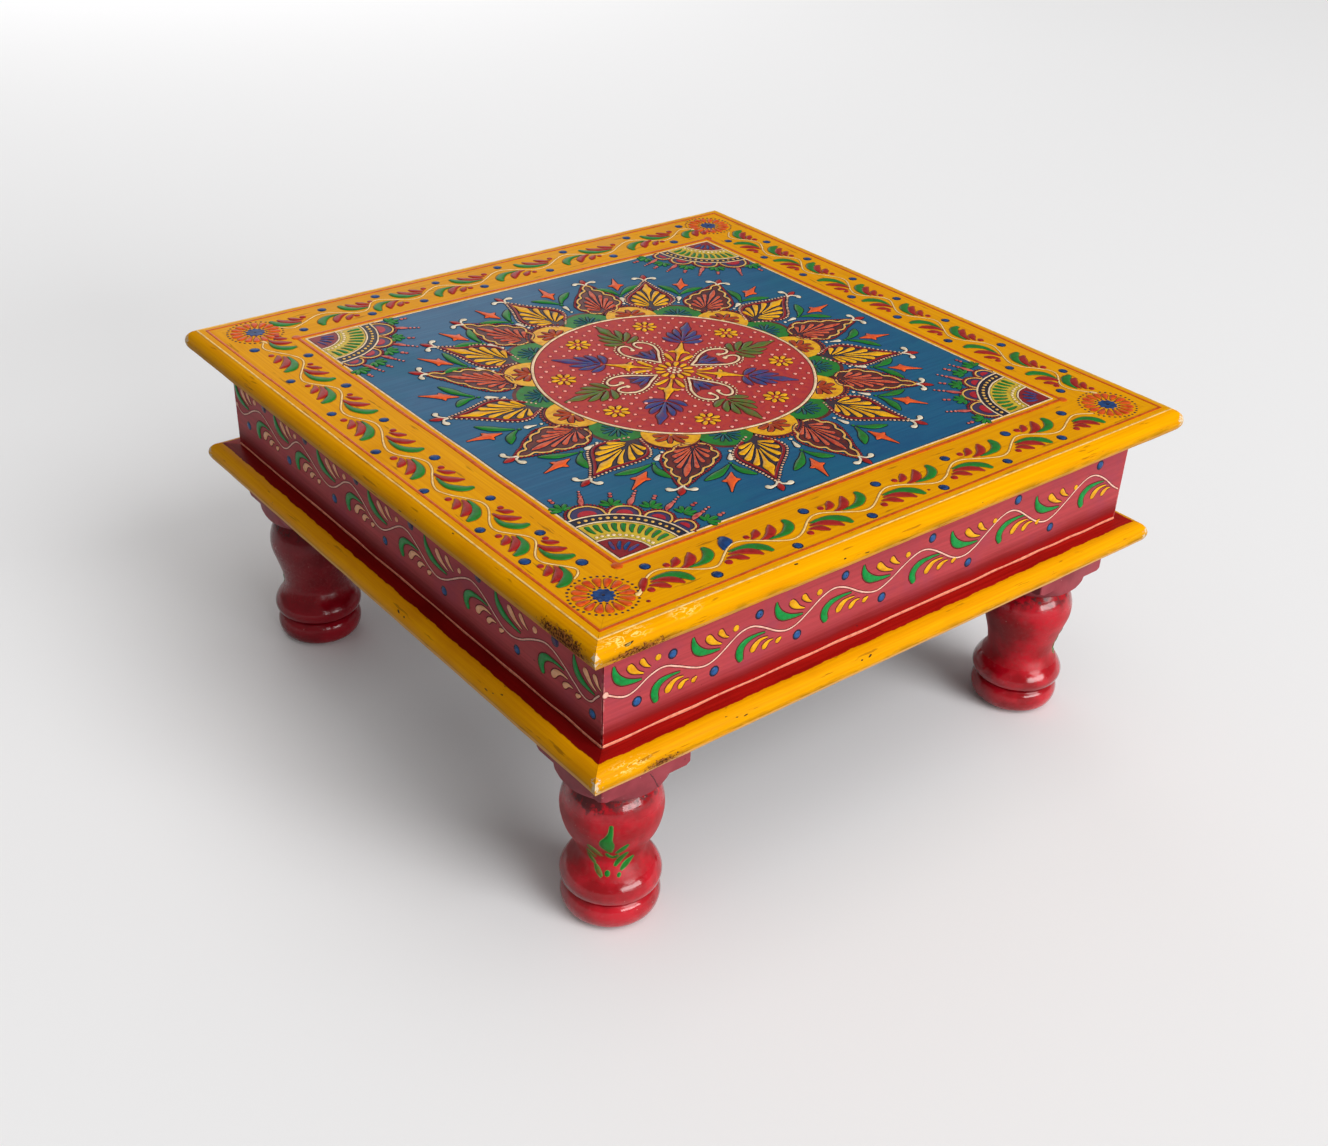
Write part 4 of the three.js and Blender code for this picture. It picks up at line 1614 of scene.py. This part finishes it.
def scalloped(edge, bump, sign):
    """A line of small outward bows along an edge."""
    stops = walk(edge, bump / 4)
    knots = []
    for k, (x, y, facing) in enumerate(stops):
        out = 1.9 * abs(math.sin(math.pi * k / 4)) - 0.9
        side = math.radians(facing + 90)
        knots.append((x + out * math.cos(side), sign * (y + out * math.sin(side)), 0.62))
    return knots


def coral_petal(brush, at):
    for sign in (1, -1):
        brush.stroke("straw", at, scalloped(coral_edge, 10.5, sign))
        fringe = [(x + 0.8, sign * (y + 1.9)) for x, y in coral_edge]
        beads(brush, "crimson", at, fringe, 1.75, 0.75)
    both_sides(brush, "coral", at, coral_teardrops)
    brush.stroke("coral", at, [(97, 0, 0.3), (106, 0, 0.8), (112.5, 0, 1.7), (119, 0, 0.4)])
    tip_curls(brush, at, coral_edge[-1][0] + 1.5)


print("points of a petal's outline:", len(mirrored_edge(petal_edge)))

# %% [markdown]
# A lobe is a flat round of paint with a small frond inside it. A yellow one also has a dark red arc round
# it, with a row of rusty beads beyond. In the blue between two petals stands a sprig: a white drop, two
# green leaves and an orange bud with four points.

# %% Lobes and sprigs
lobe_turns = [-90 + 20 * k for k in range(18)]
lobe_middle = 75.2
lobe_radius = 14.8
fan_of_five = [
    [(76.8, 1.6, 0.7), (78, 4.6, 1.5), (78.6, 7.4, 1.5)],
    [(78, 1.2, 0.7), (81.4, 3.4, 1.6), (83.4, 5.8, 1.3)],
]
frond_of_seven = [
    [(76.6, 1.8, 0.35), (77.4, 4.6, 0.7), (77.4, 7.8, 0.6)],
    [(77.4, 1.4, 0.35), (79.8, 4, 0.7), (81.4, 6.6, 0.6)],
    [(78.4, 0.9, 0.35), (81.8, 2.6, 0.7), (84.6, 4, 0.6)],
]


def lobe(brush, at, colour, ridge):
    outer = [(lobe_middle + x, y) for x, y, _ in ring(40, lobe_radius)]
    ridge.field(colour, at, outer, 0.16 if colour == "yellow" else 0.12)
    if colour == "yellow":
        arc_radius = lobe_radius + 0.7
        arc = [(lobe_middle + x, y) for x, y in bow(arc_radius, arc_radius, 66, 13)]
        brush.stroke("crimson", at, [(x, y, 0.35) for x, y in arc], halo=0.3)
        wider = [(lobe_middle + (x - lobe_middle) * 1.12, y * 1.12) for x, y in arc]
        beads(brush, "rust_red", at, wider[1:-1], 2.3, 0.7)
        both_sides(brush, "rust_red", at, fan_of_five)
        brush.stroke("rust_red", at, [(78, 0, 0.6), (82, 0, 1.4), (85.6, 0, 0.8)])
    else:
        both_sides(brush, "teal", at, frond_of_seven)
        brush.stroke("teal", at, [(78, 0, 0.4), (82, 0, 0.7), (85.6, 0, 0.6)])


def sprig(brush, at):
    brush.dot("white", at, 95.5, 0, 0.95)
    brush.stroke("white", at, [(98, 0, 0.35), (100.8, 0, 1), (103.2, 0, 1.5)])
    brush.dot("green", at, 107.2, 0, 0.9)
    both_sides(brush, "green", at, [[(109, 0.9, 0.5), (113.4, 3.6, 1.5), (117.4, 7.6, 2.3),
                                     (121, 13, 0.3)]])
    brush.stroke("orange", at, [(116.2, 0, 0.3), (119.6, 0, 1.4), (123.2, 0, 2.8), (126, 0, 1.9),
                                (130, 0, 1), (134.4, 0, 0.25)])
    brush.stroke("orange", at, [(123.6, -4.6, 0.3), (123.4, 0, 2), (123.6, 4.6, 0.3)])


print("lobes, each with a sprig beside it:", len(lobe_turns))

# %% [markdown]
# The disc has motifs of its own. Four hearts with a blue leaf inside them point at the rails, with an olive
# palm beyond each. Four slim yellow buds lie on the diagonals, with a violet palm beyond each. Eight little
# yellow flowers stand between the palms, and a star of dots and strokes fills the middle.

# %% Fronds and flowers of the disc
palm_strokes = [
    [(0.4, 1, 0.4), (1.2, 4.6, 1.4), (3.4, 8.6, 1.7), (5.4, 11, 0.4)],
    [(3, 1, 0.4), (6, 4.6, 1.4), (9.4, 7.4, 1.8), (12.6, 9.2, 0.4)],
    [(6.4, 0.9, 0.4), (10.2, 3.2, 1.4), (14.2, 4.9, 1.7), (18, 5.8, 0.4)],
]
palm_lance = [(3, 0, 0.5), (10, 0, 1.1), (16, 0, 1.8), (20, 0, 2.8), (24, 0, 1.6), (29, 0, 0.3)]


def palm(brush, colour, at):
    both_sides(brush, colour, at, palm_strokes)
    brush.stroke(colour, at, palm_lance)


def little_flower(brush, at):
    brush.dot("yellow", at, 0, 0, 1.3)
    for x, y, _ in ring(8, 4.6, hand.uniform(0, 45)):
        shares = ((0.7, 0.8), (0.96, 1.35), (1.24, 1.25))
        brush.stroke("yellow", at, [(x * share, y * share, half) for share, half in shares])


def heart(brush, at, ridge):
    """A cream heart whose ends curl in, with a blue leaf on plum inside it."""
    half = [(11.8, 0), (18, 3.8), (24.5, 8.2), (31, 10.4), (36.4, 9.4), (39.8, 6.2), (39.6, 3.2),
            (36.8, 1.8), (33.8, 2.2)]
    for sign in (1, -1):
        brush.stroke("cream", at, [(x, sign * y, 0.7) for x, y, _ in walk(half, 2.4)])
        brush.dot("cream", at, 33, sign * 2.7, 1.4)
        outer = offset([(x, y) for x, y in half[:-3]], 2.3)
        for x, y, _ in walk(outer, 2.6)[1:]:
            brush.dot("cream", at, x, sign * y, 0.62)
    plum = [(14, 0), (20, 3.4), (25.5, 6.9), (29, 8.3), (27, 4), (29.5, 0)]
    ridge.field("plum", at, mirrored_edge(plum), 0.21)
    brush.stroke("violet", at, [(16.5, 0, 0.5), (22, 0, 1.7), (28.5, 0.4, 0.5)])
    both_sides(brush, "violet", at, [[(18, 0.9, 0.4), (22.4, 3.2, 1.2), (27, 5, 0.4)]])


def centre_star(brush, at):
    for x, y, _ in ring(8, 3.1):
        brush.dot("cream", at, x, y, 0.95)
    brush.dot("cream", at, 0, 0, 1)
    for x, y, _ in ring(12, 7.4, 15):
        brush.stroke("yellow", at, [(x * 0.76, y * 0.76, 0.7), (x, y, 1.2), (x * 1.24, y * 1.24, 1.4)])


def diagonal_bud(brush, at):
    brush.stroke("yellow", at, [(12.4, 0, 0.5), (17, 0, 0.8), (21.5, 0, 1.2), (25, 0, 2.7),
                                (29, 0, 1.6), (37, 0, 0.25)])
    both_sides(brush, "yellow", at, [[(12, 2.2, 0.5), (16, 4.4, 1.3), (19.6, 6.8, 1.2)],
                                     [(23.6, 1.2, 0.6), (24.4, 3.6, 1.2), (23.4, 5.6, 0.5)]])


print("strokes in a palm:", 2 * len(palm_strokes) + 1)

# %% [markdown]
# With every motif drawn, the flower is put together from the bottom up, as the painter did it: first the flat
# grounds, then the lines on them. The petals were placed by eye, and most tips lean a little to one side,
# so the angles of each petal's base and tip are both listed. A sprig leans as the two petals beside it do.

# %% The great flower
tip_turns = {
    "coral": [-164, -127, -85, -41.7, -1.4, 39.8, 75.6, 117.7, 148],
    "yellow": [-146, -107, -61.9, -23.8, 20.4, 59.3, 99.9, 132.6, 172],
}
base_turns = {
    "coral": [-161, -122, -81, -40.5, -0.5, 39.8, 79, 119, 157],
    "yellow": [-142, -102, -60.5, -21, 20.2, 59.8, 99.9, 138, 177],
}
ground_height = 0.05
petal_height = 0.09
disc_height = 0.2

flower_grounds = Brush("flower_ground", "panel_paint")
flower_lines = Brush("flower_line", "panel_paint", "shade_blue")
at_flower = spot(*flower_centre)
for turn in lobe_turns:
    at = spot(*flower_centre, turn)
    flower_grounds.field("maroon", at, [(lobe_middle + x, y) for x, y, _ in ring(36, 16.9)], ground_height)
for kind, tips in tip_turns.items():
    for base_turn, tip_turn in zip(base_turns[kind], tips):
        at = leaning(flower_centre, base_turn, tip_turn)
        edge = petal_edge if kind == "yellow" else coral_edge
        outline = [(x, y) for x, y, _ in walk(edge, 2)]
        flower_grounds.field("maroon", at, mirrored_edge(outline), ground_height + 0.01)
        shrunk = [(88 + (x - 88) * 0.88, y * 0.74) for x, y in outline]
        flower_grounds.field("dusk" if kind == "yellow" else "umber", at, mirrored_edge(shrunk), petal_height)
        (yellow_petal if kind == "yellow" else coral_petal)(flower_lines, at)
all_tips = sorted([*tip_turns["coral"], *tip_turns["yellow"]])
for k, turn in enumerate(lobe_turns):
    lobe(flower_lines, spot(*flower_centre, turn), "green" if k % 2 else "yellow", flower_grounds)
    near_tips = sorted(all_tips, key=lambda tip: abs((tip - turn + 180) % 360 - 180))[:2]
    drift = sum((tip - turn + 180) % 360 - 180 for tip in near_tips) / 2
    sprig(flower_lines, leaning(flower_centre, turn, turn + drift))
flower_lines.dry(on_top(top_level + 0.08 * mm))
flower_lines.shade = "shade_disc"
flower_lines.halo = 0.7

flower_grounds.field("disc_red", at_flower, circle(disc_radius, 96), disc_height)
rim = [(x, y, 0.75) for x, y, _ in ring(48, disc_radius)]
flower_lines.stroke("cream", at_flower, rim, closed=True, halo=0.4)
for k in range(4):
    heart(flower_lines, spot(*flower_centre, 90 * k), flower_grounds)
    palm(flower_lines, "olive", spot(*spot(*flower_centre, 90 * k)(42, 0), 90 * k))
    diagonal = 45 + 90 * k
    palm(flower_lines, "violet", spot(*spot(*flower_centre, diagonal)(37, 0), diagonal))
    diagonal_bud(flower_lines, spot(*flower_centre, diagonal))
for x, y, _ in ring(8, 60, 22.5):
    little_flower(flower_lines, spot(flower_centre[0] + x, flower_centre[1] + y))
centre_star(flower_lines, at_flower)
print("lobes:", len(lobe_turns), "petals:", sum(len(tips) for tips in tip_turns.values()))

# %% [markdown]
# The rest of the disc is sprinkled with small pink dots on a slanting grid. A dot is left out where it would
# fall on a motif, which each keep a circle free.

# %% Sprinkled dots
grid_step = 7.4
grid_slant = 32
grid_rows = range(-12, 13)
row_share = 0.82
keep_free = [(0, 0, 14)]
for k in range(4):
    for radius, free in ((18, 7), (26, 11.5), (34, 13.5), (46, 9.5), (54, 9.5), (63, 5)):
        x, y = spot(degrees=90 * k)(radius, 0)
        keep_free.append((x, y, free))
    for radius, free in ((20, 6), (29, 5), (42, 9.5), (50, 9.5), (59, 5)):
        x, y = spot(degrees=45 + 90 * k)(radius, 0)
        keep_free.append((x, y, free))
keep_free += [(x, y, 8.2) for x, y, _ in ring(8, 60, 22.5)]
slanted = spot(degrees=grid_slant)
sprinkled = 0
for row in grid_rows:
    for column in grid_rows:
        x, y = slanted(column * grid_step + (row % 2) * grid_step / 2, row * grid_step * row_share)
        inside = math.hypot(x, y) < disc_radius - 3
        if inside and all(math.hypot(x - a, y - b) > free for a, b, free in keep_free):
            flower_lines.dot("pink", at_flower, x, y, 1, shake=0.5)
            sprinkled += 1
flower_lines.dry(on_top(top_level + (disc_height - 0.05) * mm))
flower_grounds.dry(on_top(top_level))
flower_grounds.finish()
flower_lines.finish()
print("sprinkled dots:", sprinkled)

# %% [markdown]
# A quarter of a smaller flower fills each corner of the panel. Its middle is the panel's corner, and it is
# built in bands from there: a crimson fan with four short petals, a row of cream beads, a yellow-green band
# with green strokes, a dark band with a row of gold dots, and four scallops that grow smaller towards one
# side. Pink buds and green sprigs stand out beyond them.

# %% Corner fans
fan_corner = 140.4
scallops = [((9.8, 37), 8.4), ((24.6, 29.2), 7), ((34.6, 17.6), 6.2), ((39.6, 5.6), 5.2)]
fan_buds = [((13.5, 46.2), (19.6, 57.4)), ((31.5, 34.2), (41.5, 43.4)), ((42.2, 21.4), (54, 27.6)),
            ((46.6, 7.7), (59.5, 12.4))]
fan_sprigs = [((3.2, 47), 86), ((24, 38.6), 56), ((37.6, 27), 42), ((46.6, 14.6), 22), ((50.5, 2.8), 8)]


def quarter_arc(radius, steps=14, margin=0):
    """Knots on a quarter circle about the corner."""
    turns = [math.radians(margin + (90 - 2 * margin) * k / steps) for k in range(steps + 1)]
    return [(radius * math.cos(a), radius * math.sin(a)) for a in turns]


def sector(radius):
    return [(0, 0), *quarter_arc(radius, 20)]


def fan_bands(brush, ridge, at):
    """The bands round the corner, from the crimson fan out to the dark one."""
    for radius, colour, height in ((37.4, "ink", 0.08), (31.2, "lemon", 0.11), (16.2, "crimson", 0.14)):
        ridge.field(colour, at, sector(radius), height)
    for radius in (16.4, 31.4, 37.4):
        brush.stroke("cream", at, [(x, y, 0.5) for x, y in quarter_arc(radius)], halo=0.25)
    for x, y, _ in walk(quarter_arc(19.2, margin=5), 2.7):
        brush.dot("cream", at, x, y, 0.9, edge="shade_green")
    for k in range(10):
        ray = spot(0, 0, 7 + 76 * k / 9)
        knots = [(22.4, -0.5, 0.4), (25, 0.2, 0.9), (28.6, 0.4, 1.15)]
        brush.stroke("green", at, [(*ray(r, across), half) for r, across, half in knots], halo=0.2)
    for k in range(15):
        brush.dot("straw", at, *spot(0, 0, 5 + 80 * k / 14)(34.3, 0), 0.95)
    for k, colour in enumerate(("violet", "blue", "blue", "violet")):
        ray = spot(0, 0, 18 + 18 * k)
        brush.stroke(colour, at, [(*ray(7, 0), 0.4), (*ray(9.6, 0.3), 0.9), (*ray(13.4, 0), 0.6)], halo=0.2)


def fan_scallops(brush, ridge, at):
    """The round scallops along the dark band."""
    for (x, y), size in scallops:
        outward = math.degrees(math.atan2(y, x))
        here = spot(*at(x, y), outward + fan_turn(at))
        ridge.field("slate_violet", here, circle(size, 24), 0.06)
        brush.stroke("straw", here, [(x, y, 0.55) for x, y in bow(size, size, 100, 11)], halo=0.35)
        beads(brush, "crimson", here, bow(1.2 * size, 1.2 * size, 88, 11), 1.7, 0.7)
        ridge.field("scarlet", here, bow(0.5 * size, 0.54 * size, 90, 13), 0.34)


def fan_rays(brush, at):
    """The pink buds and the green sprigs that stand out beyond the scallops."""
    for (x0, y0), (x1, y1) in fan_buds:
        length = math.hypot(x1 - x0, y1 - y0)
        here = spot(*at(x0, y0), math.degrees(math.atan2(y1 - y0, x1 - x0)) + fan_turn(at))
        brush.stroke("bud_pink", here, [(-0.5, 0, 0.4), (length * 0.2, 0.3, 1.4), (length * 0.48, 0, 0.9)])
        for share, radius in ((0.62, 1), (0.8, 0.85), (0.98, 0.7)):
            brush.dot("bud_pink", here, length * share, 0, radius)
            # The small pink dot on each bead is a painted highlight.
            brush.dot("pink", here, length * share, 0, radius * 0.45, lift=0.3)
    for (x, y), outward in fan_sprigs:
        here = spot(*at(x, y), outward + fan_turn(at))
        brush.stroke("green", here, [(0.4, 0, 0.4), (3, 0, 1.1), (5.4, 0, 1.2)])
        both_sides(brush, "green", here, [[(-0.2, 0.8, 0.4), (0.4, 2.8, 1.1), (0.9, 4.6, 0.9)],
                                          [(0.6, 0.8, 0.4), (2.4, 2.2, 1.1), (4, 3.6, 1)]])
        for along, radius in ((8.6, 1.1), (10.9, 0.9)):
            brush.dot("bud_pink", here, along, 0, radius)


def fan_turn(at):
    """The angle by which a sheet is turned on the table."""
    (x0, y0), (x1, y1) = at(0, 0), at(1, 0)
    return math.degrees(math.atan2(y1 - y0, x1 - x0))


print("scallops:", len(scallops), "buds:", len(fan_buds), "sprigs:", len(fan_sprigs))

# %% [markdown]
# The same fan is painted in the four corners, each turned by another quarter.

# %% Paint the fans
fan_grounds = Brush("fan_ground", "panel_paint")
fan_lines = Brush("fan_line", "panel_paint", "shade_blue")
fan_lines.halo = 0.42
for turn in range(4):
    x, y = spot(degrees=90 * turn)(-fan_corner, -fan_corner)
    at = spot(x, y, 90 * turn)
    fan_bands(fan_lines, fan_grounds, at)
    fan_scallops(fan_lines, fan_grounds, at)
    fan_rays(fan_lines, at)
fan_lines.dry(on_top(top_level + 0.09 * mm))
fan_grounds.dry(on_top(top_level))
fan_grounds.finish()
fan_lines.finish()

# %% [markdown]
# The aprons have a vine of their own, a pink line with green leaves and yellow drops on the rose. Its sheet
# stands on edge: up is the height, and a stroke rises outwards from the board. The front and left boards'
# bends are listed as they fall. The back and right boards repeat them with a small shift. On the left board
# the drops are a duller wheat colour, and the berries over its crests, just under the top, are painted
# darker as painted shade.

# %% The aprons' vines
apron_bends = {
    "front": [
        (-171, 147.8), (-159, 142.8), (-141, 149.8), (-116.2, 140.8), (-93, 151.4), (-67.6, 141), (-41, 153),
        (-12.3, 141.3), (17.5, 153.3), (48.5, 139.4), (79.6, 154.7), (111, 139), (143.3, 155), (170, 139.5),
    ],
    "left": [
        (-170, 146), (-162, 143), (-141, 152.3), (-115, 142), (-95, 153), (-65, 141.3), (-40, 153.4),
        (-12.5, 141), (13, 152.5), (41.8, 140.1), (72.2, 153.1), (102.7, 140.8), (132.6, 151.7), (160, 139.7),
        (170, 146.6),
    ],
}
apron_bends["right"] = [(u * 0.99, z + 0.6) for u, z in apron_bends["left"]]
apron_bends["back"] = [(u * 0.99, z - 0.4) for u, z in apron_bends["front"]]
apron_spread = 56
narrowest_bend, widest_bend = 46, 62
vine_end = apron_face / mm - 4
border_end, border_level, border_steps = 171.5, 121.2, 28
print("bends of the four vines:", [len(bends) for bends in apron_bends.values()])

# %% [markdown]
# These leaves are stretched with their bend too. "drop" stands for the colour of the lesser ones, and close
# to a board's end the last one is left out, where it would run past the corner.

# %% Leaves of the aprons' vines
apron_cup = [
    ("bright_leaf", [(-9.8, 17.4, 0.5), (-9.1, 13.7, 1.5), (-6, 9.4, 2.1), (0, 6.8, 1.3), (8.4, 5.6, 0.25)]),
    ("drop", [(0.4, 14, 1.7), (2.6, 11.8, 1.6), (5.4, 9.8, 0.9), (9.4, 8.2, 0.3)]),
    ("drop", [(8.4, 14.6, 1.4), (10, 12.8, 1.2), (11.6, 11.4, 0.7), (13.8, 10.2, 0.25)]),
    ("drop", [(18.8, 13.2, 1.6)]),
]
apron_arch = [
    ("bright_leaf", [(-3.8, -15.6, 1.6), (-4.9, -12, 2.2), (-3, -8.3, 1.9), (3.2, -6.2, 1),
                     (12, -6.4, 0.25)]),
    ("drop", [(4.4, -13, 1.8), (6.2, -11, 1.6), (9.4, -9.5, 0.8), (14.4, -9.6, 0.3)]),
    ("drop", [(12.4, -14.2, 1.5), (13.9, -12.9, 1.3), (15.8, -12.1, 0.7), (18.2, -12.2, 0.25)]),
    ("drop", [(21.6, -14, 1.3), (23.2, -13.2, 0.8)]),
]
print("leaves end", round(apron_face / mm - vine_end, 1), "mm before a corner")

# %% [markdown]
# Each apron gets its vine, and a thin salmon line along its foot, just over the moulding's ledge.

# %% Paint the aprons


def apron_vine(brush, drop, bends):
    at = spot()
    brush.stroke("vine_pink", at, [(u, z, 0.46) for u, z, _ in walk(bends, 4)], shake=0.1, halo=0.3)
    brush.dot("vine_pink", at, *bends[0], 1.5)
    for i in range(1, len(bends) - 1):
        u, z = bends[i]
        crest = z > bends[i - 1][1]
        spread = max(narrowest_bend, min(widest_bend, bends[i + 1][0] - bends[i - 1][0]))

        def here(along, across, u=u, z=z):
            return u + along, z + across

        stretch = spread / apron_spread
        motif, last = (apron_arch, 24) if crest else (apron_cup, 20)
        fits = abs(here(last * stretch, 0)[0]) < vine_end
        leaves(brush, here, motif if fits else motif[:-1], stretch, drop)
        along, across = (6, 4.8) if crest else (5.4, -5.2)
        along += hand.uniform(-0.8, 0.8)
        # On the left board the berries over the crests are painted darker, as painted shade.
        berry = "damson" if drop == "wheat" and crest else "slate"
        brush.dot(berry, here, along, across, 2, edge="ink", halo=1.25)
        brush.dot("ink", here, along, across, 0.95, lift=0.5)


def on_apron(turn):
    """The sheet stands against an apron: along it, and up."""
    turned = np.array(Matrix.Rotation(turn * quarter, 3, "Z"))

    def lay(flat):
        upright = np.stack([flat[:, 0], -apron_face - flat[:, 2], flat[:, 1]], axis=1)
        return upright @ turned.T

    return lay


apron_ornament = Brush("apron_vine", "rose_paint", "shade_rose")
for turn, side in enumerate(sides):
    apron_vine(apron_ornament, "wheat" if side == "left" else "yellow", apron_bends[side])
    border = []
    for k in range(border_steps + 1):
        along = -border_end + 2 * border_end * k / border_steps
        border.append((along, border_level + hand.uniform(-0.3, 0.3), hand.uniform(0.6, 0.95)))
    apron_ornament.stroke("salmon", spot(), border, halo=0.15)
    apron_ornament.dry(on_apron(turn))
apron_ornament.finish()

# %% [markdown]
# On the outward side of each leg sits a green bud over a small curl, with three full leaves on one side of
# it, four thin olive ones on the other and two dots below. Its sheet is wrapped round the turned form: along
# is the way round, up is the height, and the paint stands out from the wood.

# %% Leg motifs
forms = [np.array([(r, z) for r, z in outline if z <= collar[1]]) for outline in leg_outlines]
motif_twists = [0, 0, 0, -13]
motif_leaves = {
    "green": [
        [(10.8, 54, 0.5), (8.2, 51, 1.2), (5.4, 47.8, 0.6)],
        [(10.2, 46.8, 0.6), (7.2, 41.8, 1.4), (4.2, 36.6, 0.6)],
        [(12.8, 39.8, 0.8), (10, 37.4, 1.5), (7.4, 34.6, 0.6)],
        [(0.6, 47, 0.5), (3.1, 43.2, 1.3), (6, 45.6, 0.5)],
        [(3, 66.2, 0.7), (2.7, 62.2, 1.1), (1.8, 58.9, 1.9), (1, 55.6, 3.3), (1.9, 52.2, 2.4),
         (2.5, 49.6, 1)],
    ],
    "olive": [
        [(-7.8, 52, 0.5), (-5, 48.6, 1.5), (-2.2, 43.8, 0.6)],
        [(-8.8, 47.4, 0.5), (-7.4, 44.4, 1.1), (-5, 41.4, 0.5)],
        [(-8.8, 42.6, 0.5), (-7.6, 39.6, 1.1), (-5.6, 36.8, 0.5)],
        [(-5.2, 36, 0.5), (-3.8, 34, 1), (-1.8, 32, 0.5)],
    ],
}


def on_leg(turn, twist):
    """The sheet is wrapped round the outward side of a leg, which may be glued in a little twisted."""
    turned = np.array(Matrix.Rotation(turn * quarter, 3, "Z"))
    outward = math.radians(225 + twist)

    def lay(flat):
        radius = np.interp(flat[:, 1], forms[turn][:, 1] * mm, forms[turn][:, 0] * mm)
        angle = outward + flat[:, 0] / radius
        reach = radius + flat[:, 2]
        xs = reach * np.cos(angle) - leg_centre
        ys = reach * np.sin(angle) - leg_centre
        return np.stack([xs, ys, flat[:, 1]], axis=1) @ turned.T

    return lay


leg_ornament = Brush("leg_motif", "leg_paint", "leaf_edge")
leg_ornament.halo = 0.32
for turn, twist in enumerate(motif_twists):
    at = spot()
    for colour, leaves in motif_leaves.items():
        for leaf in leaves:
            leg_ornament.stroke(colour, at, leaf)
    leg_ornament.dot("green", at, 0.9, 33, 1.3)
    leg_ornament.dot("green", at, 6.4, 32.4, 1)
    leg_ornament.dry(on_leg(turn, twist))
leg_ornament.finish()

# %% [markdown]
# The light is that of a bright yard. A wide soft source stands high in front, a pale window low in front
# puts the glints on the legs, and a pale wall beyond the far left corner is what the glossy panel reflects.
# Suns light the whole floor evenly, so the paper under the table stays one plain tone. A camera ray or a
# mirrored one sees that paper nearly white, while the light that bounces off it is that of a greyer one, so
# that the shaded side stays dark.

# %% Suns and windows
sun_distance = 3.0
suns = {
    "daylight": {"bearing": -76.0, "rise": 42.0, "strength": 1.15, "spread": 30.0},
    "high_sky": {"bearing": -76.0, "rise": 76.0, "strength": 0.82, "spread": 60.0},
}
windows = {
    "window": {"bearing": -84.0, "rise": 14.0, "distance": 4.0, "size": (3.0, 1.15), "radiance": 10.0},
    "far_wall": {"bearing": 73.0, "rise": 18.0, "distance": 2.4, "size": (1.7, 1.2), "radiance": 1.15},
}


def hang(light, setting, distance):
    """Hangs a light round the table, turned to face it."""
    lamp = bpy.data.objects.new(light.name, light)
    link(lamp)
    bearing, rise = math.radians(setting["bearing"]), math.radians(setting["rise"])
    away = Vector((math.cos(bearing) * math.cos(rise), math.sin(bearing) * math.cos(rise), math.sin(rise)))
    lamp.location = Vector((0, 0, top_level / 2)) + away * distance
    lamp.rotation_euler = (-away).to_track_quat("-Z", "Y").to_euler()


for name, setting in suns.items():
    light = bpy.data.lights.new(name, "SUN")
    light.energy = setting["strength"]
    light.angle = math.radians(setting["spread"])
    hang(light, setting, sun_distance)
for name, setting in windows.items():
    light = bpy.data.lights.new(name, "AREA")
    light.shape = "RECTANGLE"
    light.size, light.size_y = setting["size"]
    light.energy = setting["radiance"] * math.pi * light.size * light.size_y
    hang(light, setting, setting["distance"])

print("suns:", len(suns), "windows:", len(windows))

# %% [markdown]
# The sky gives a faint light from all round, and the paper is a wide plane with two shades of white. The
# nozzle and the flat brush have done their work and are removed.

# %% Sky and floor
sky_strength = 0.28
floor_width = 30.0
floor_bounce = (0.33, 0.33, 0.34, 1.0)
floor_seen = (0.86, 0.86, 0.87, 1.0)

world = bpy.data.worlds.new("sky")
bpy.context.scene.world = world
world.use_nodes = True
world.node_tree.nodes["Background"].inputs["Color"].default_value = (1.0, 0.98, 0.95, 1.0)
world.node_tree.nodes["Background"].inputs["Strength"].default_value = sky_strength

bpy.ops.object.select_all(action="DESELECT")
bpy.ops.mesh.primitive_plane_add(size=floor_width, location=(0, 0, 0))
floor = bpy.context.object
floor.name = "floor"
paper = Finish("floor_paper", 0.9)
seen = paper.node("ShaderNodeLightPath", output="Is Camera Ray")
for mirrored in ("Is Glossy Ray", "Is Transmission Ray"):
    seen = seen.math("MAXIMUM", paper.node("ShaderNodeLightPath", output=mirrored))
bounced = paper.node("ShaderNodeBsdfDiffuse", inputs={"Color": floor_bounce})
pale = paper.node("ShaderNodeBsdfDiffuse", inputs={"Color": floor_seen})
both = paper.node("ShaderNodeMixShader", inputs={0: seen, 1: bounced, 2: pale})
paper.tree.links.new(both.socket, paper.tree.nodes["Material Output"].inputs["Surface"])
floor.data.materials.append(paper.material)
remove(nozzle)
remove(flat_brush)
print("floor:", floor_width, "m wide")

# %% [markdown]
